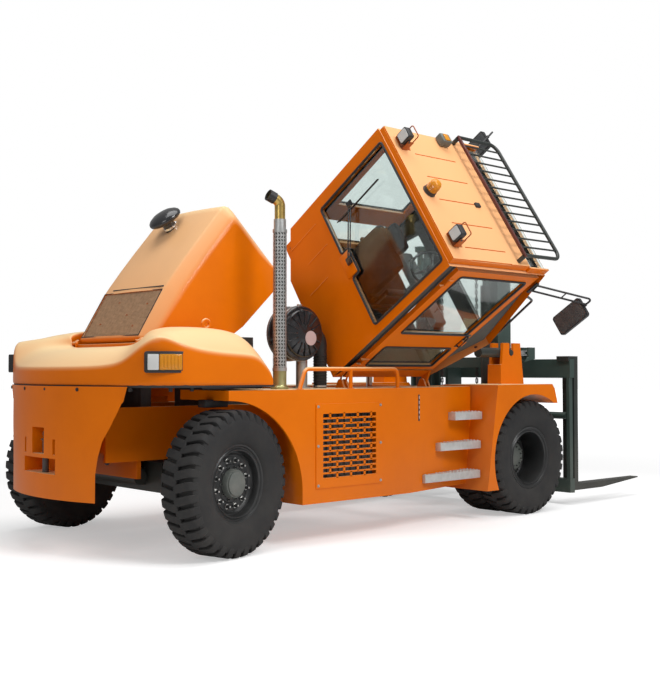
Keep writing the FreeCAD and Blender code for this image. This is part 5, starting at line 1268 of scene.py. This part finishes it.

# %% [markdown]
# ## Inside the cab
#
# The seat is a crowned cushion and back with a head rest, in dark cloth with sewn
# channels. Its cushions are blocks that are subdivided, crowned and creased,
# because a pad this far behind glass needs no simulated folds.

# %% Seat, console and wheel
CHANNEL_DEPTH = 5


def cushion(name, x0, x1, y0, y1, z0, z1, across, crown, replaces=()):
    """A block pulled in towards its edges, with sewn channels on its broad faces."""
    bm = bmesh.new()
    block(bm, x0, x1, y0, y1, z0, z1)
    bmesh.ops.subdivide_edges(bm, edges=bm.edges, cuts=14, use_grid_fill=True)
    middle = Vector(((x0 + x1) / 2, (y0 + y1) / 2, (z0 + z1) / 2))
    half = Vector((x1 - x0, y1 - y0, z1 - z0)) / 2
    for vert in bm.verts:
        share = Vector([(vert.co[k] - middle[k]) / half[k] for k in range(3)])
        for k in range(3):
            others = [share[j] for j in range(3) if j != k]
            pull = crown * (others[0] ** 2 + others[1] ** 2) / 2
            if k == across:
                pull += CHANNEL_DEPTH * max(0, math.cos(share[1] * 9)) ** 8 if abs(share[k]) > 0.95 else 0
            vert.co[k] -= math.copysign(pull, share[k]) * min(1, abs(share[k]))
    piece = on_truck(bm, name, "cab", CLOTH, CAB, replaces)
    piece.modifiers.new("crown", "SUBSURF").levels = 1
    piece.modifiers["crown"].render_levels = 1


cushion("seat-cushion", -1870, -1370, -250, 250, 1780, 1900, 2, 16, ["seat"])
cushion("seat-back", -1945, -1835, -240, 240, 1872, 2330, 0, 14)
cushion("seat-headrest", -1930, -1855, -140, 140, 2345, 2480, 0, 12)
bm = bmesh.new()
block(bm, -1820, -1420, -180, 180, 1382, 1786, edge=14)
for k in range(6):
    block(bm, -1826 + 2 * (k % 2), -1414 - 2 * (k % 2), -186, 186, 1420 + 56 * k, 1460 + 56 * k, edge=8)
for y in (-60, 60):
    rod(bm, (-1892, y, 2300), (-1892, y, 2360), 7, sides=12)
for s in (1, -1):
    block(bm, -1860, -1560, s * 292 - 28, s * 292 + 28, 2010, 2050, edge=12)
    block(bm, -1850, -1800, s * 275 - 12, s * 275 + 12, 1840, 2020, edge=6)
on_truck(bm, "seat-base", "cab", PLASTIC, CAB)

bm = bmesh.new()
block(bm, -1060, -900, -420, 420, 1700, 1790, edge=20)
block(bm, -1060, -1000, -80, 80, 1380, 1710, edge=12)
rod(bm, (-960, 0, 1780), (-1112, 0, 2045), 30)
for y in (-300, -180, 180, 300):
    rod(bm, (-1010, y, 1786), (-1022, y, 1840), 6, sides=10)
    turned_part(bm, [(0, 1838), (14, 1842), (16, 1856), (0, 1868)], (-1022, y, 0), axis="Z", sides=20, closed=False)
on_truck(bm, "console", "cab", CAB_GREY, CAB, ["dashboard"])
bm = bmesh.new()
hub = Vector((-1120, 0, 2060))
column = Vector((-160, 0, 280)).normalized()
turned = Matrix.Translation(hub) @ column.to_track_quat("Z", "Y").to_matrix().to_4x4()
ring = [(190 + 13 * math.cos(a), 13 * math.sin(a)) for a in (math.tau * k / 12 for k in range(12))]
turned_part(bm, ring, (0, 0, 0), axis="Z", sides=64)
for k in range(3):
    arm = Matrix.Rotation(math.tau * (k + 0.25) / 3, 4, "Z")
    block(bm, 20, 184, -13, 13, -6, 2, edge=3, place=arm)
turned_part(bm, [(0, -22), (40, -22), (46, 0), (36, 10), (0, 12)], (0, 0, 0), axis="Z", sides=32, closed=False)
bmesh.ops.transform(bm, matrix=turned, verts=bm.verts)
on_truck(bm, "steering-wheel", "cab", GLOSS_BLACK, CAB)

# %% [markdown]
# ## The cab's cylinder
#
# Under the cab one sees the long cylinder that pushes it over, with its chromed rod.

# %% Cab cylinder
softened("cab_cylinder", 5, BLACK_PAINT, angle=40)
softened("cab_cylinder_rod", 3, BRIGHT, angle=40)

# %% [markdown]
# ## Mast, carriage and forks
#
# The lifting gear is rolled channel and flame-cut plate in a dark green grey. Two chains
# of flat links hang between the rails and ride with the inner mast, and each fork
# narrows to its tip.

# %% Rails, carriage and forks
for node, width in (("outer_mast", 5), ("inner_mast", 5), ("carriage", 6)):
    softened(node, width, GREEN_GREY, angle=40)

CHAIN_Y, CHAIN_LOW, LINK_PITCH, LINKS = 250, 420, 37, 62
bm = bmesh.new()
for y in (CHAIN_Y, -CHAIN_Y):
    for k in range(LINKS):
        z = CHAIN_LOW + LINK_PITCH * k
        # one plate in the middle and two outside take turns
        for across in (0,) if k % 2 else (-12, 12):
            plate(bm, [(418, z - 24), (430, z - 24), (430, z + 24), (418, z + 24)], "side", y + across - 4,
                  y + across + 4)
        rod(bm, (424, y - 18, z + 18), (424, y + 18, z + 18), 4, sides=8)
on_truck(bm, "lift-chains", "inner_mast", IRON)

BLADE_LONG, NARROWED = 1.05, 0.45
for _, word in SIDES:
    bm = drawn_copy(f"{word}_fork")
    root = max(v.co.x for v in bm.verts) - BLADE_LONG
    middle = sum(v.co.y for v in bm.verts) / len(bm.verts)
    for vert in bm.verts:
        share = max(0.0, (vert.co.x - root) / BLADE_LONG)
        vert.co.y = middle + (vert.co.y - middle) * (1 - NARROWED * share ** 2)
    soften(bm, 0.003, 2, 20)
    on_truck(bm, f"fork-{word}-tapered", f"{word}_fork", BLACK_PAINT, Matrix(), [f"{word}_fork"],
             recalc=False)

# %% [markdown]
# ## Parts whose shape is right as drawn
#
# The rest of the welded and cast parts keep the shape that they have in the drawing.
# Only their edges are rounded over, because no flame-cut plate has a knife edge.

# %% Drawn parts with softened edges
for part in frame["record"]["subparts"]:
    name, slot = part["node"], part["material_slot"]
    if frame["nodes"][name].hide_render or slot == "cab_glazing":
        continue
    softened(name, 4, SLOT_FINISH[slot])
